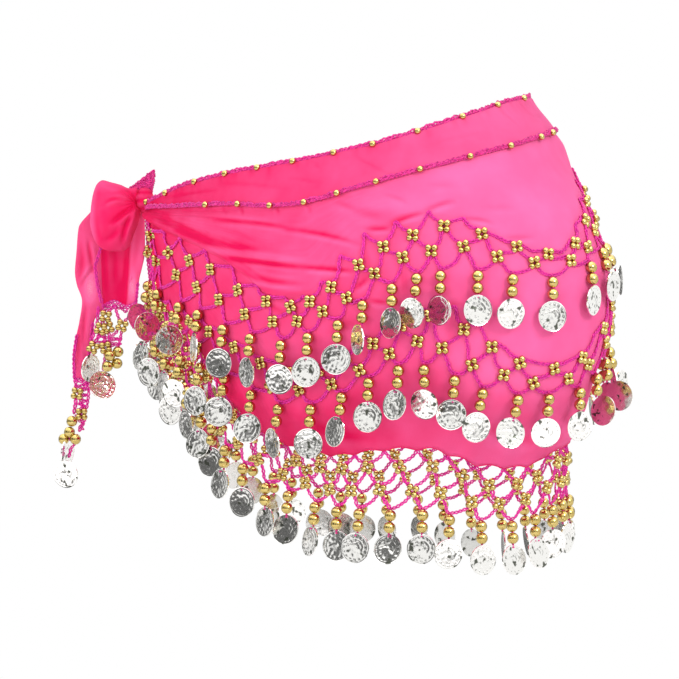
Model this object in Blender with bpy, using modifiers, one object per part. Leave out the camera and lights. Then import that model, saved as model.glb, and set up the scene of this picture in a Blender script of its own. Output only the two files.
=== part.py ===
"""Belly dance hip scarf, worn round the hips of a general figure and tied at one side.

The wearer faces -Y, the wearer's left is +X and +Z is up. The origin is the middle of the waist
opening. One cut of chiffon runs all round from the knot back to the knot. Its top is turned down
as a waist fold, two nets of crochet and beads are sewn over it in waves, and a third hangs from the
hem. Each net carries a fringe of beads and coins, made here as a plain wall of its reach. Beside the
knot are a bow loop, a crocheted point and the two hanging ends. All sizes are in metres.

A place on the scarf is a turn in degrees from the knot, towards the front of the wearer, and a
height. The second half of the way round mirrors the first.
"""

import bmesh
import bpy
import numpy as np
from mathutils import Matrix, Vector

COLLECTION = "belly dance hip scarf"

# The figure that the scarf hangs on: level ellipses, with the hip thrown to the wearer's left.
KNOT_ANGLE = -144.6
DEPTH_TO_WIDTH = 0.71

# The scarf's own sizes.
COLUMNS = 60
END_TURN = 5.3
PANEL_ROWS = 10
FOLD_ROWS = 2
NET_ROWS = 2
FRINGE_ROWS = 2
CLOTH_WALL = 0.0012
FOLD_WALL = 0.0010
NET_WALL = 0.0013
FRINGE_WALL = 0.0040
FRINGE_REACH = 0.035
FRINGE_LAP = 0.003
EDGING_RADIUS = 0.0011
SEAM_GAP = 0.0004
EDGE_GAP = 0.0010

# How far each layer's inner face stands off the cloth's inner face.
FOLD_OUT = 0.0019
NET_OUT = 0.0023
HEM_NET_OUT = 0.0
TIER_FRINGE_OUT = 0.0044
HEM_FRINGE_OUT = 0.0018
TOP_EDGING_OUT = 0.0014
FOLD_EDGING_OUT = 0.0032

# One broad soft fold fans out from the knot between the waist fold and the upper net.
FAN_FOLD_DEPTH = 0.0025
FAN_FOLD_END = 85.0

# The knot, with its half sizes outwards, along the scarf and upwards.
KNOT_HEIGHT = -0.034
KNOT_OUT = 0.005
KNOT_HALF = (0.008, 0.0127, 0.010)


def table(columns, rows):
    """One array for each named column."""
    return dict(zip(columns.split(), np.array(rows, float).T))


FIGURE = table(
    "height half_width shift",
    [
        (-0.280, 0.1340, 0.0120),
        (-0.205, 0.1345, 0.0125),
        (-0.168, 0.1520, 0.0180),
        (-0.147, 0.1585, 0.0205),
        (-0.112, 0.1660, 0.0225),
        (-0.080, 0.1675, 0.0200),
        (-0.052, 0.1655, 0.0125),
        (-0.026, 0.1595, 0.0045),
        (0.000, 0.1470, 0.0000),
        (0.013, 0.1390, -0.0025),
        (0.034, 0.1260, -0.0065),
        (0.060, 0.1220, -0.0080),
    ],
)

# The heights of the scarf's lines at each turn: the top edge, the waist fold's lower edge, where each
# net is sewn on, each net's foot, and the hem.
LINES = table(
    "turn top fold upper_sewn upper_foot middle_sewn middle_foot hem hem_foot",
    [
        (5, -0.031, -0.036, -0.045, -0.080, -0.083, -0.106, -0.058, -0.118),
        (10, -0.031, -0.036, -0.048, -0.085, -0.088, -0.114, -0.092, -0.130),
        (16, -0.0295, -0.036, -0.051, -0.090, -0.093, -0.120, -0.100, -0.140),
        (24, -0.027, -0.0365, -0.055, -0.095, -0.098, -0.128, -0.108, -0.152),
        (34, -0.023, -0.037, -0.061, -0.100, -0.103, -0.135, -0.123, -0.168),
        (44, -0.020, -0.037, -0.071, -0.110, -0.113, -0.141, -0.154, -0.190),
        (54, -0.0165, -0.037, -0.084, -0.117, -0.126, -0.152, -0.1755, -0.207),
        (63, -0.014, -0.039, -0.0955, -0.1205, -0.135, -0.160, -0.186, -0.214),
        (71, -0.0115, -0.0385, -0.092, -0.1155, -0.134, -0.159, -0.191, -0.2195),
        (79, -0.0085, -0.035, -0.073, -0.107, -0.124, -0.152, -0.1925, -0.222),
        (86, -0.005, -0.030, -0.0575, -0.0945, -0.114, -0.1425, -0.1905, -0.223),
        (93, -0.002, -0.0255, -0.0525, -0.085, -0.104, -0.1355, -0.1885, -0.2235),
        (103, 0.004, -0.019, -0.0445, -0.079, -0.0985, -0.137, -0.188, -0.2235),
        (112, 0.0095, -0.014, -0.049, -0.079, -0.111, -0.1465, -0.192, -0.227),
        (121, 0.015, -0.009, -0.061, -0.081, -0.1275, -0.152, -0.198, -0.230),
        (129, 0.019, -0.005, -0.0675, -0.082, -0.135, -0.1535, -0.1995, -0.2305),
        (138, 0.0235, -0.001, -0.0685, -0.082, -0.1355, -0.153, -0.200, -0.229),
        (146, 0.0265, 0.0025, -0.0585, -0.076, -0.130, -0.152, -0.197, -0.226),
        (153, 0.0285, 0.005, -0.044, -0.0715, -0.113, -0.149, -0.191, -0.222),
        (165, 0.031, 0.009, -0.028, -0.065, -0.089, -0.135, -0.1875, -0.219),
        (180, 0.033, 0.011, -0.022, -0.062, -0.082, -0.122, -0.186, -0.217),
    ],
)

# The pieces beside the knot are in the knot's own frame: out from the body, forward along the scarf,
# and the height. The bow loop is a strip that goes out from the knot and comes back behind itself.
BOW_LOOP = table(
    "along out forward top bottom",
    [
        (0.0, 0.0128, 0.0052, -0.0280, -0.0400),
        (1.0, 0.0195, 0.0105, -0.0215, -0.0620),
        (2.0, 0.0300, 0.0120, -0.0195, -0.0630),
        (3.0, 0.0385, 0.0035, -0.0300, -0.0540),
        (4.0, 0.0300, -0.0050, -0.0220, -0.0580),
        (5.0, 0.0195, -0.0058, -0.0240, -0.0520),
        (6.0, 0.0128, -0.0050, -0.0290, -0.0395),
    ],
)
BOW_LOOP_CROWN = 0.0025

# A hanging piece is level sections from its inner to its outer edge, each with the depth of its folds.
HANGING = "height inner outer forward ripple"
FRONT_TAIL = table(
    HANGING,
    [
        (-0.0428, 0.0020, 0.0080, -0.0070, 0.0000),
        (-0.0480, 0.0050, 0.0200, -0.0100, 0.0004),
        (-0.0640, 0.0080, 0.0340, -0.0108, 0.0008),
        (-0.0770, 0.0100, 0.0330, -0.0105, 0.0012),
        (-0.0900, 0.0110, 0.0320, -0.0105, 0.0015),
        (-0.0975, 0.0130, 0.0310, -0.0105, 0.0015),
    ],
)
FRONT_TAIL_NET = table(
    HANGING,
    [
        (-0.0979, 0.0130, 0.0310, -0.0105, 0.0015),
        (-0.1080, 0.0150, 0.0360, -0.0105, 0.0010),
        (-0.1160, 0.0200, 0.0400, -0.0105, 0.0000),
    ],
)
FRONT_TAIL_FRINGE = table(
    HANGING,
    [
        (-0.1164, 0.0200, 0.0400, -0.0105, 0.0000),
        (-0.1400, 0.0210, 0.0430, -0.0105, 0.0000),
        (-0.1600, 0.0240, 0.0430, -0.0105, 0.0000),
    ],
)
REAR_TAIL = table(
    HANGING,
    [
        (-0.0418, 0.0030, 0.0075, -0.0092, 0.0000),
        (-0.0480, 0.0070, 0.0400, -0.0145, 0.0006),
        (-0.0640, 0.0090, 0.0480, -0.0155, 0.0012),
        (-0.0770, 0.0100, 0.0500, -0.0160, 0.0018),
        (-0.0960, 0.0160, 0.0450, -0.0160, 0.0018),
        (-0.1090, 0.0325, 0.0455, -0.0160, 0.0014),
        (-0.1210, 0.0360, 0.0490, -0.0160, 0.0014),
        (-0.1340, 0.0380, 0.0510, -0.0160, 0.0012),
        (-0.1470, 0.0400, 0.0500, -0.0160, 0.0008),
    ],
)
REAR_TAIL_NET = table(
    HANGING,
    [
        (-0.1474, 0.0400, 0.0500, -0.0160, 0.0008),
        (-0.1580, 0.0400, 0.0520, -0.0160, 0.0004),
        (-0.1700, 0.0450, 0.0550, -0.0160, 0.0000),
    ],
)
REAR_TAIL_FRINGE = table(
    HANGING,
    [
        (-0.1704, 0.0450, 0.0550, -0.0160, 0.0000),
        (-0.1900, 0.0480, 0.0610, -0.0160, 0.0000),
        (-0.2160, 0.0500, 0.0600, -0.0160, 0.0000),
    ],
)
UPPER_TIP = table(
    HANGING,
    [
        (-0.0236, 0.0000, 0.0095, 0.0000, 0.0000),
        (-0.0190, -0.0006, 0.0050, 0.0000, 0.0000),
        (-0.0115, -0.0016, -0.0006, 0.0000, 0.0000),
    ],
)
HANGING_WIDTH_CELLS = 4
TAIL_FRINGE_WALL = 0.005
RIPPLES = 1.5

# Looks of the materials: base colour, roughness and metallic value.
CHIFFON = ("pink chiffon", (0.86, 0.06, 0.24), 0.75, 0.0)
CROCHET = ("crochet thread", (0.68, 0.04, 0.36), 0.85, 0.0)
COINS = ("coins and beads", (0.80, 0.74, 0.58), 0.30, 1.0)


def smooth(places, values, at):
    """A smooth curve through the values that never overshoots them."""
    step = np.diff(places)
    slope = np.diff(values) / step
    both = slope[:-1] * slope[1:]
    inner = np.where(both > 0, 2 * both / np.where(both > 0, slope[:-1] + slope[1:], 1.0), 0.0)
    tangent = np.concatenate([slope[:1], inner, slope[-1:]])
    cell = np.clip(np.searchsorted(places, at) - 1, 0, len(step) - 1)
    part = np.clip((at - places[cell]) / step[cell], 0.0, 1.0)
    rise = part * part * (3 - 2 * part)
    start_pull = part * (1 - part) ** 2 * step[cell] * tangent[cell]
    end_pull = part * part * (part - 1) * step[cell] * tangent[cell + 1]
    return values[cell] * (1 - rise) + values[cell + 1] * rise + start_pull + end_pull


def line(name, turn):
    """The height of one of the scarf's lines at each turn."""
    return smooth(LINES["turn"], LINES[name], np.minimum(turn, 360.0 - turn))


def figure_point(turn, height):
    """Where the figure's surface lies, with the level direction that points out of it."""
    half_width = smooth(FIGURE["height"], FIGURE["half_width"], height)
    shift = smooth(FIGURE["height"], FIGURE["shift"], height)
    half_depth = half_width * DEPTH_TO_WIDTH
    angle = np.radians(turn + KNOT_ANGLE)
    place = np.stack([shift + half_width * np.cos(angle), half_depth * np.sin(angle), height], -1)
    out = np.stack([half_depth * np.cos(angle), half_width * np.sin(angle), 0.0 * height], -1)
    return place, out / np.linalg.norm(out, axis=-1, keepdims=True)


def fan_fold(turn, height):
    """How far the broad fold beside the knot stands out."""
    fold = line("fold", turn)
    sewn = line("upper_sewn", turn)
    across = np.clip((fold - height) / (fold - sewn), 0.0, 1.0)
    from_knot = np.minimum(turn, 360.0 - turn)
    along = np.clip(1.0 - from_knot / FAN_FOLD_END, 0.0, 1.0)
    return FAN_FOLD_DEPTH * np.sin(np.pi * across) ** 2 * np.sqrt(along)


def cloth_point(turn, height, out=0.0):
    """Where the cloth lies. Below the hem a piece hangs straight down from it."""
    turn, height = np.broadcast_arrays(np.asarray(turn, float), np.asarray(height, float))
    place, outward = figure_point(turn, np.maximum(height, line("hem", turn)))
    place[..., 2] = height
    return place + outward * (out + fan_fold(turn, height))[..., None]


def hanging_point(turn, start, height, out):
    """A plumb line from its start down to the height, pushed out where the cloth below is wider."""
    turn, start, height = np.broadcast_arrays(turn, start, height)
    top = cloth_point(turn, start, out)
    outward = figure_point(turn, start)[1]
    push = np.zeros(turn.shape)
    for part in np.linspace(0.1, 1.0, 10):
        below = cloth_point(turn, start + (height - start) * part, out)
        push = np.maximum(push, ((below - top) * outward).sum(-1))
    place = top + outward * push[..., None]
    place[..., 2] = height
    return place


def material(look):
    name, colour, roughness, metallic = look
    if name in bpy.data.materials:
        return bpy.data.materials[name]
    made = bpy.data.materials.new(name)
    made.use_nodes = True
    shader = made.node_tree.nodes["Principled BSDF"]
    shader.inputs["Base Color"].default_value = (*colour, 1.0)
    shader.inputs["Roughness"].default_value = roughness
    shader.inputs["Metallic"].default_value = metallic
    return made


def add(name, data, look):
    """An object of the scarf in its own material."""
    data.materials.append(material(look))
    made = bpy.data.objects.new(name, data)
    bpy.data.collections[COLLECTION].objects.link(made)
    return made


def sheet(name, points, wall, look, side=1.0):
    """An open sheet over a grid of points (across, down), given its wall on the side it faces."""
    across, down = points.shape[:2]
    index = np.arange(across * down).reshape(across, down)
    corners = (index[:-1, :-1], index[:-1, 1:], index[1:, 1:], index[1:, :-1])
    faces = np.stack(corners, -1).reshape(-1, 4)
    mesh = bpy.data.meshes.new(name)
    mesh.from_pydata(points.reshape(-1, 3).tolist(), [], faces.tolist())
    made = add(name, mesh, look)
    solid = made.modifiers.new("wall", "SOLIDIFY")
    solid.thickness = wall
    solid.offset = side
    return made


def turns(skipped=0):
    """The turns of the scarf's columns, leaving out some beside the knot at both ends."""
    columns = np.linspace(END_TURN, 360.0 - END_TURN, COLUMNS + 1)
    return columns[skipped : len(columns) - skipped]


def heights_between(top, bottom, rows):
    """Rows of heights, evenly spaced down each column."""
    return top[:, None] + (bottom - top)[:, None] * np.linspace(0.0, 1.0, rows + 1)


def wrapped_sheet(name, turn, top, bottom, rows, out, wall, look):
    """A sheet round the hips between two lines of heights."""
    height = heights_between(top, bottom, rows)
    return sheet(name, cloth_point(turn[:, None], height, out), wall, look)


def edging(name, turn, height, out):
    """A round trim along a line of heights, as a tube."""
    curve = bpy.data.curves.new(name, "CURVE")
    curve.dimensions = "3D"
    curve.bevel_depth = EDGING_RADIUS
    curve.bevel_resolution = 0
    curve.use_fill_caps = True
    spline = curve.splines.new("POLY")
    points = cloth_point(turn, height, out)
    spline.points.add(len(points) - 1)
    spline.points.foreach_set("co", np.c_[points, np.ones(len(points))].ravel())
    return add(name, curve, CROCHET)


def fringe(name, foot, floor, out, skipped):
    """A wall of the fringe's reach, lapped outside its net's foot and kept clear of the next tier."""
    turn = turns(skipped)
    start = line(foot, turn) + FRINGE_LAP
    end = np.maximum(line(foot, turn) - FRINGE_REACH, floor(turn))
    height = heights_between(start, end, FRINGE_ROWS)
    points = hanging_point(turn[:, None], start[:, None], height, out)
    return sheet(name, points, FRINGE_WALL, COINS)


def build_panel():
    """The cloth from its top edge to the hem, with a row of points under the waist fold's edge."""
    turn = turns()
    under_fold = heights_between(line("top", turn), line("fold", turn), FOLD_ROWS)
    below_fold = heights_between(line("fold", turn), line("hem", turn), PANEL_ROWS)
    height = np.hstack([under_fold, below_fold[:, 1:]])
    sheet("panel", cloth_point(turn[:, None], height), CLOTH_WALL, CHIFFON)


def build_waist_fold():
    turn = turns()
    top, lower_edge = line("top", turn), line("fold", turn)
    wrapped_sheet("waist_fold", turn, top, lower_edge, FOLD_ROWS, FOLD_OUT, FOLD_WALL, CHIFFON)
    edging("top_edging", turn, top + EDGING_RADIUS + EDGE_GAP, TOP_EDGING_OUT)
    edging("fold_edging", turn, lower_edge - EDGING_RADIUS - EDGE_GAP, FOLD_EDGING_OUT)


def build_tiers():
    """Three nets with their fringes. The middle one starts past the upper one's first column."""
    for name, skipped in (("upper", 1), ("middle", 1)):
        turn = turns(skipped)
        sewn, foot = line(name + "_sewn", turn), line(name + "_foot", turn)
        wrapped_sheet(name + "_net", turn, sewn, foot, NET_ROWS, NET_OUT, NET_WALL, CROCHET)
    turn = turns(1)
    sewn, foot = line("hem", turn) - EDGE_GAP, line("hem_foot", turn)
    wrapped_sheet("hem_net", turn, sewn, foot, NET_ROWS, HEM_NET_OUT, NET_WALL, CROCHET)

    clear = FRINGE_LAP + SEAM_GAP * 2

    def above_middle(turn):
        return line("middle_foot", turn) + clear

    def above_hem(turn):
        return line("hem_foot", turn) + clear

    def free(turn):
        return np.full(turn.shape, -np.inf)

    fringe("upper_fringe", "upper_foot", above_middle, TIER_FRINGE_OUT, 1)
    fringe("middle_fringe", "middle_foot", above_hem, TIER_FRINGE_OUT, 1)
    fringe("hem_fringe", "hem_foot", free, HEM_FRINGE_OUT, 1)


def knot_frame():
    """The knot's own frame: out from the body, forward along the scarf, and up. Heights stay level."""
    place, out = figure_point(np.array(0.0), np.array(KNOT_HEIGHT))
    out = Vector(out)
    up = Vector((0.0, 0.0, 1.0))
    forward = up.cross(out)
    frame = Matrix((out, forward, up)).transposed().to_4x4()
    frame.translation = Vector((place[0], place[1], 0.0))
    return frame


def beside_knot(local):
    """Points given as out, forward and height, in the row's frame."""
    frame = np.array(knot_frame())
    return local @ frame[:3, :3].T + frame[:3, 3]


def build_knot():
    shape = bmesh.new()
    place = Matrix.Translation((KNOT_OUT, 0.0, KNOT_HEIGHT)) @ Matrix.Diagonal((*KNOT_HALF, 1.0))
    bmesh.ops.create_uvsphere(
        shape, u_segments=14, v_segments=9, radius=1.0, matrix=knot_frame() @ place
    )
    mesh = bpy.data.meshes.new("knot")
    shape.to_mesh(mesh)
    shape.free()
    mesh.shade_smooth()
    add("knot", mesh, CHIFFON)


def build_bow_loop():
    """A strip between its top and bottom edges, crowned outwards across its width."""
    along = np.linspace(0.0, 6.0, 13)
    part = np.linspace(0.0, 1.0, 5)
    out, forward, top, bottom = (
        smooth(BOW_LOOP["along"], BOW_LOOP[name], along)[:, None]
        for name in ("out", "forward", "top", "bottom")
    )
    crown = BOW_LOOP_CROWN * np.sin(np.pi * part) * np.sin(np.pi * along / 6.0)[:, None]
    height = top + (bottom - top) * part
    local = np.stack([out + crown, forward + 0.0 * crown, height], -1)
    sheet("bow_loop", beside_knot(local), CLOTH_WALL, CHIFFON, side=0.0)


def hanging_piece(name, sections, wall, look):
    """A sheet through level sections, rippled across its width."""
    part = np.linspace(0.0, 1.0, HANGING_WIDTH_CELLS + 1)[:, None]
    inner, outer = sections["inner"], sections["outer"]
    out = inner + (outer - inner) * part
    wave = np.sin(2 * np.pi * RIPPLES * part) * sections["ripple"]
    forward = sections["forward"] + wave
    local = np.stack([out, forward, sections["height"] + 0.0 * out], -1)
    sheet(name, beside_knot(local), wall, look, side=0.0)


def build_ends():
    hanging_piece("upper_tip", UPPER_TIP, NET_WALL, CROCHET)
    hanging_piece("front_tail", FRONT_TAIL, CLOTH_WALL, CHIFFON)
    hanging_piece("front_tail_net", FRONT_TAIL_NET, NET_WALL, CROCHET)
    hanging_piece("front_tail_fringe", FRONT_TAIL_FRINGE, TAIL_FRINGE_WALL, COINS)
    hanging_piece("rear_tail", REAR_TAIL, CLOTH_WALL, CHIFFON)
    hanging_piece("rear_tail_net", REAR_TAIL_NET, NET_WALL, CROCHET)
    hanging_piece("rear_tail_fringe", REAR_TAIL_FRINGE, TAIL_FRINGE_WALL, COINS)


def main():
    for old in list(bpy.data.objects):
        bpy.data.objects.remove(old, do_unlink=True)
    bpy.context.scene.collection.children.link(bpy.data.collections.new(COLLECTION))
    build_panel()
    build_waist_fold()
    build_tiers()
    build_knot()
    build_bow_loop()
    build_ends()


main()
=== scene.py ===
"""Looks of the belly dance hip scarf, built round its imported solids.

Every piece is a surface worked out with numpy in the scarf's own frame: the wearer faces -Y, the
wearer's left is +X, +Z is up and the origin is the middle of the waist opening. A place on the
scarf is a turn in degrees from the knot, towards the front of the wearer, and a height. The
second half of the way round mirrors the first. Sizes are in metres unless a name or a comment
says otherwise.
"""

import logging
import math
from dataclasses import dataclass, field
from enum import Enum

import bpy
import numpy as np
from bpy.types import Material, Node, NodeSocket, NodeTree, Object
from mathutils import Matrix, Vector


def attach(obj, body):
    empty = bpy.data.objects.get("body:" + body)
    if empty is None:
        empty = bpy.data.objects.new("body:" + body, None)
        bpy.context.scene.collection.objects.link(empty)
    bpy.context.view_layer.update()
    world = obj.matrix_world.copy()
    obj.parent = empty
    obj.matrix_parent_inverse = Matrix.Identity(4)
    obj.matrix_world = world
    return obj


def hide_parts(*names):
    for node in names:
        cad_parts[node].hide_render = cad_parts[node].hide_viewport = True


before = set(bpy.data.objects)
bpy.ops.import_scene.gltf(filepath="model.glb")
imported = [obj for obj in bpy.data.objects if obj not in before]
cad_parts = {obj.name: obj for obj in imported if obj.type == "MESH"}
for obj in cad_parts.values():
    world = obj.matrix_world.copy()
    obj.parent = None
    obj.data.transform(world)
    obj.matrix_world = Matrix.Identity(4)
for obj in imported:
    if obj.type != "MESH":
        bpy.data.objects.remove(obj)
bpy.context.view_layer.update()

Array = np.ndarray
MM = 0.001
UP = np.array([0.0, 0.0, 1.0])
log = logging.getLogger("hip_scarf")


class Slot(Enum):
    """The record's material slots."""

    CHIFFON = "chiffon"
    CROCHET = "crochet"
    BEADS = "beads"
    COINS = "coins"


class Hold(Enum):
    """How a sheet of cloth is held."""

    DRAPED = "draped"
    HUNG = "hung"
    GATHERED = "gathered"
    FOLDED = "folded"


# ---- The form that the scarf hangs on, and its lines ----


def table(
    columns: str, rows: list[tuple[float, ...]], unit: float = 1.0
) -> dict[str, Array]:
    """Name the columns of a small table.

    Args:
        columns: The columns' names, with spaces between them.
        rows: One tuple for each row.
        unit: What 1 in the table stands for.

    Returns:
        One array for each named column.
    """
    return dict(zip(columns.split(), unit * np.array(rows, float).T))


FIGURE = table("height half_width shift flat", [
    (-280, 134, 12, 2.5), (-205, 134.5, 12.5, 3), (-168, 152, 18, 6.5), (-147, 158.5, 20.5, 8.5),
    (-112, 166, 22.5, 6), (-80, 167.5, 20, 6.2), (-52, 165.5, 12.5, 6.5), (-26, 159.5, 4.5, 4.7),
    (0, 147, 0, -2.8), (13, 139, -2.5, 0), (34, 126, -6.5, 0), (60, 122, -8, 0)
], MM)

# The lines' heights in millimetres, by the turn.
LINES = table("turn top fold tied upper_sewn upper_foot middle_sewn middle_foot hem hem_foot", [
    (5, -31, -36, -43.5, -45, -80, -83, -106, -58, -118),
    (10, -31, -36, -45.5, -48, -85, -88, -114, -92, -130),
    (16, -29.5, -36, -47.8, -51, -90, -93, -120, -100, -140),
    (24, -27, -36.5, -52.6, -55, -95, -98, -128, -108, -152),
    (34, -23, -37, -58.3, -61, -100, -103, -135, -123, -168),
    (44, -20, -37, -66.7, -71, -110, -113, -141, -154, -190),
    (54, -16.5, -37, -80.5, -84, -117, -126, -152, -175.5, -207),
    (63, -14, -39, -95.2, -95.5, -120.5, -135, -160, -186, -214),
    (71, -11.5, -38.5, -94.5, -92, -115.5, -134, -159, -191, -219.5),
    (79, -8.5, -35, -73.5, -73, -107, -124, -152, -192.5, -222),
    (86, -5, -30, -58, -57.5, -94.5, -114, -142.5, -190.5, -223),
    (93, -2, -25.5, -52, -52.5, -85, -104, -135.5, -188.5, -223.5),
    (103, 4, -19, -43.8, -44.5, -79, -98.5, -137, -188, -223.5),
    (112, 9.5, -14, -48.4, -49, -79, -111, -146.5, -192, -227),
    (121, 15, -9, -61.5, -61, -81, -127.5, -152, -198, -230),
    (129, 19, -5, -68, -67.5, -82, -135, -153.5, -199.5, -230.5),
    (138, 23.5, -1, -68.5, -68.5, -82, -135.5, -153, -200, -229),
    (146, 26.5, 2.5, -54.5, -58.5, -76, -130, -152, -197, -226),
    (153, 28.5, 5, -42.5, -44, -71.5, -113, -149, -191, -222),
    (165, 31, 9, -24.5, -24.5, -64, -89, -135, -187.5, -219),
    (180, 33, 11, -13.5, -13.5, -59, -82, -122, -186, -217)
])


def smooth(places: Array, values: Array, at: Array) -> Array:
    """Draw a smooth curve through values, one that never overshoots them.

    Each stretch is a cubic whose end slopes are the harmonic mean of the slopes beside it.

    Args:
        places: Where the values stand, rising.
        values: The values there.
        at: Where the curve is wanted.

    Returns:
        The curve's values, shaped as at.
    """
    step = np.diff(places)
    slope = np.diff(values) / step
    both = slope[:-1] * slope[1:]
    total = np.where(both > 0, slope[:-1] + slope[1:], 1.0)
    inner = np.where(both > 0, 2 * both / total, 0.0)
    tangent = np.concatenate([slope[:1], inner, slope[-1:]])
    cell = np.clip(np.searchsorted(places, at) - 1, 0, len(step) - 1)
    part = np.clip((at - places[cell]) / step[cell], 0.0, 1.0)
    rise = part * part * (3 - 2 * part)
    start_pull = part * (1 - part) ** 2 * step[cell] * tangent[cell]
    end_pull = part * part * (part - 1) * step[cell] * tangent[cell + 1]
    return values[cell] * (1 - rise) + values[cell + 1] * rise + start_pull + end_pull


def fade(value: Array, start: float, end: float) -> Array:
    """Rise softly from 0 at start to 1 at end."""
    part = np.clip((value - start) / (end - start), 0.0, 1.0)
    return part * part * (3 - 2 * part)


def hump(distance: Array, width: float) -> Array:
    """Give a bell curve, 1 in the middle and nearly 0 at twice the width."""
    return np.exp(-((distance / width) ** 2))


def from_knot(turn: Array) -> Array:
    """Give how many degrees each turn is from the knot, either way."""
    return np.minimum(turn, 360.0 - turn)


def way_of_turns(start: float, count: int) -> Array:
    """Give turns evenly spaced from one side of the knot round to the other, as a column."""
    return np.linspace(start, 360.0 - start, count)[:, None]


def circle(count: int) -> Array:
    """Give angles in radians, evenly spaced all the way round."""
    return np.radians(np.linspace(0.0, 360.0, count + 1)[:-1])


@dataclass(frozen=True)
class HipForm:
    """The standing figure's hips as level ellipses, with the scarf's lines round them."""

    knot_angle: float = -144.6
    depth_to_width: float = 0.71
    fan_fold_depth: float = 0.0025
    fan_fold_end: float = 85.0
    girth_level: float = -0.080
    flat_turn: float = 178.0
    flat_width: float = 18.0

    def line(self, name: str, turn: Array) -> Array:
        """Give the height of one of the scarf's lines at each turn."""
        return MM * smooth(LINES["turn"], LINES[name], from_knot(turn))

    def surface(self, turn: Array, height: Array) -> tuple[Array, Array]:
        """Find the figure's surface, which is a little flat on the side away from the knot.

        Args:
            turn: Degrees round from the knot.
            height: Heights, shaped as turn.

        Returns:
            The points, on level ellipses, and the level directions that point out of them.
        """
        half_width, shift, flat = (
            smooth(FIGURE["height"], FIGURE[name], height)
            for name in ("half_width", "shift", "flat")
        )
        half_depth = half_width * self.depth_to_width
        angle = np.radians(turn + self.knot_angle)
        across = shift + half_width * np.cos(angle)
        place = np.stack([across, half_depth * np.sin(angle), height], -1)
        out = np.stack([half_depth * np.cos(angle), half_width * np.sin(angle), 0 * height], -1)
        out /= np.linalg.norm(out, axis=-1, keepdims=True)
        flat = flat * hump(turn - self.flat_turn, self.flat_width)
        return place - out * flat[..., None], out

    def fan_fold(self, turn: Array, height: Array) -> Array:
        """Give the broad fold's depth: a sine hump between the waist fold and the upper net.

        Args:
            turn: Degrees round from the knot.
            height: Heights, shaped as turn.

        Returns:
            Depths, outwards.
        """
        fold, sewn = self.line("fold", turn), self.line("upper_sewn", turn)
        across = np.clip((fold - height) / (fold - sewn), 0.0, 1.0)
        along = np.clip(1.0 - from_knot(turn) / self.fan_fold_end, 0.0, 1.0)
        return self.fan_fold_depth * np.sin(np.pi * across) ** 2 * np.sqrt(along)

    def cloth(self, turn: Array, height: Array, out: Array | float) -> Array:
        """Find points off the figure's surface; below the hem they are straight under it.

        Args:
            turn: Degrees round from the knot.
            height: Heights.
            out: How far the points stand off the cloth's inner face.

        Returns:
            The points, with their three coordinates last.
        """
        turn, height, out = np.broadcast_arrays(turn, height, out)
        place, outward = self.surface(turn, np.maximum(height, self.line("hem", turn)))
        place[..., 2] = height
        return place + outward * (out + self.fan_fold(turn, height))[..., None]

    def plumb(self, turn: Array, start: Array, height: Array, out: float) -> Array:
        """Hang a plumb line from the cloth, pushed out where the cloth below it is wider.

        Args:
            turn: Degrees round from the knot.
            start: Where each line hangs from.
            height: How far down it goes.
            out: How far it stands off the cloth's inner face.

        Returns:
            The lines' lower ends.
        """
        top = self.cloth(turn, start, out)
        outward = self.surface(turn, start)[1]
        push = np.zeros(np.shape(turn))
        for part in np.linspace(0.1, 1.0, 10):
            below = self.cloth(turn, start + (height - start) * part, out)
            push = np.maximum(push, ((below - top) * outward).sum(-1))
        place = top + outward * push[..., None]
        place[..., 2] = height
        return place

    def way_round(self, turn: Array) -> Array:
        """Measure the way round from the knot to each turn, at the girth's level.

        Args:
            turn: Degrees round from the knot.

        Returns:
            Lengths, shaped as turn.
        """
        steps = np.linspace(0.0, 360.0, 721)
        ring = self.surface(steps, np.full(steps.shape, self.girth_level))[0]
        run = np.concatenate([[0.0], np.cumsum(np.linalg.norm(np.diff(ring, axis=0), axis=1))])
        return np.interp(turn, steps, run)


FORM = HipForm()


# ---- Meshes from whole arrays ----


@dataclass(frozen=True)
class Shape:
    """A small shape that is repeated: its points, its faces by number of corners, its relief."""

    points: Array
    faces: tuple[Array, ...]
    relief: Array | None = None


def unit(vectors: Array) -> Array:
    """Scale vectors to a length of 1."""
    return vectors / np.maximum(np.linalg.norm(vectors, axis=-1, keepdims=True), 1e-12)


def grid_faces(across: int, down: int, ring: bool = False) -> Array:
    """Join a grid of points into four-cornered faces that look towards across x down.

    Args:
        across: The number of columns.
        down: The number of points in each column.
        ring: Whether each column is closed, its last point joined to its first.

    Returns:
        The corners' numbers, four a face.
    """
    index = np.arange(across * down).reshape(across, down)
    if ring:
        index = np.hstack([index, index[:, :1]])
    corners = (index[:-1, :-1], index[:-1, 1:], index[1:, 1:], index[1:, :-1])
    return np.stack(corners, -1).reshape(-1, 4)


def ball_faces(rings: int, sides: int) -> tuple[Array, Array]:
    """Join rings of points, the first ring first, to a point before them and one after them.

    Args:
        rings: The number of rings.
        sides: The number of points in each ring; the two end points come after all the rings.

    Returns:
        The four-cornered faces between the rings, and the three-cornered ones at both ends.
    """
    index = np.arange(rings * sides).reshape(rings, sides)
    wrapped = np.hstack([index, index[:, :1]])
    quads = (wrapped[:-1, :-1], wrapped[1:, :-1], wrapped[1:, 1:], wrapped[:-1, 1:])
    end = np.full(sides, rings * sides)
    first = np.stack([end, wrapped[0, :-1], wrapped[0, 1:]], -1)
    last = np.stack([end + 1, wrapped[-1, 1:], wrapped[-1, :-1]], -1)
    return np.stack(quads, -1).reshape(-1, 4), np.concatenate([first, last])


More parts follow.
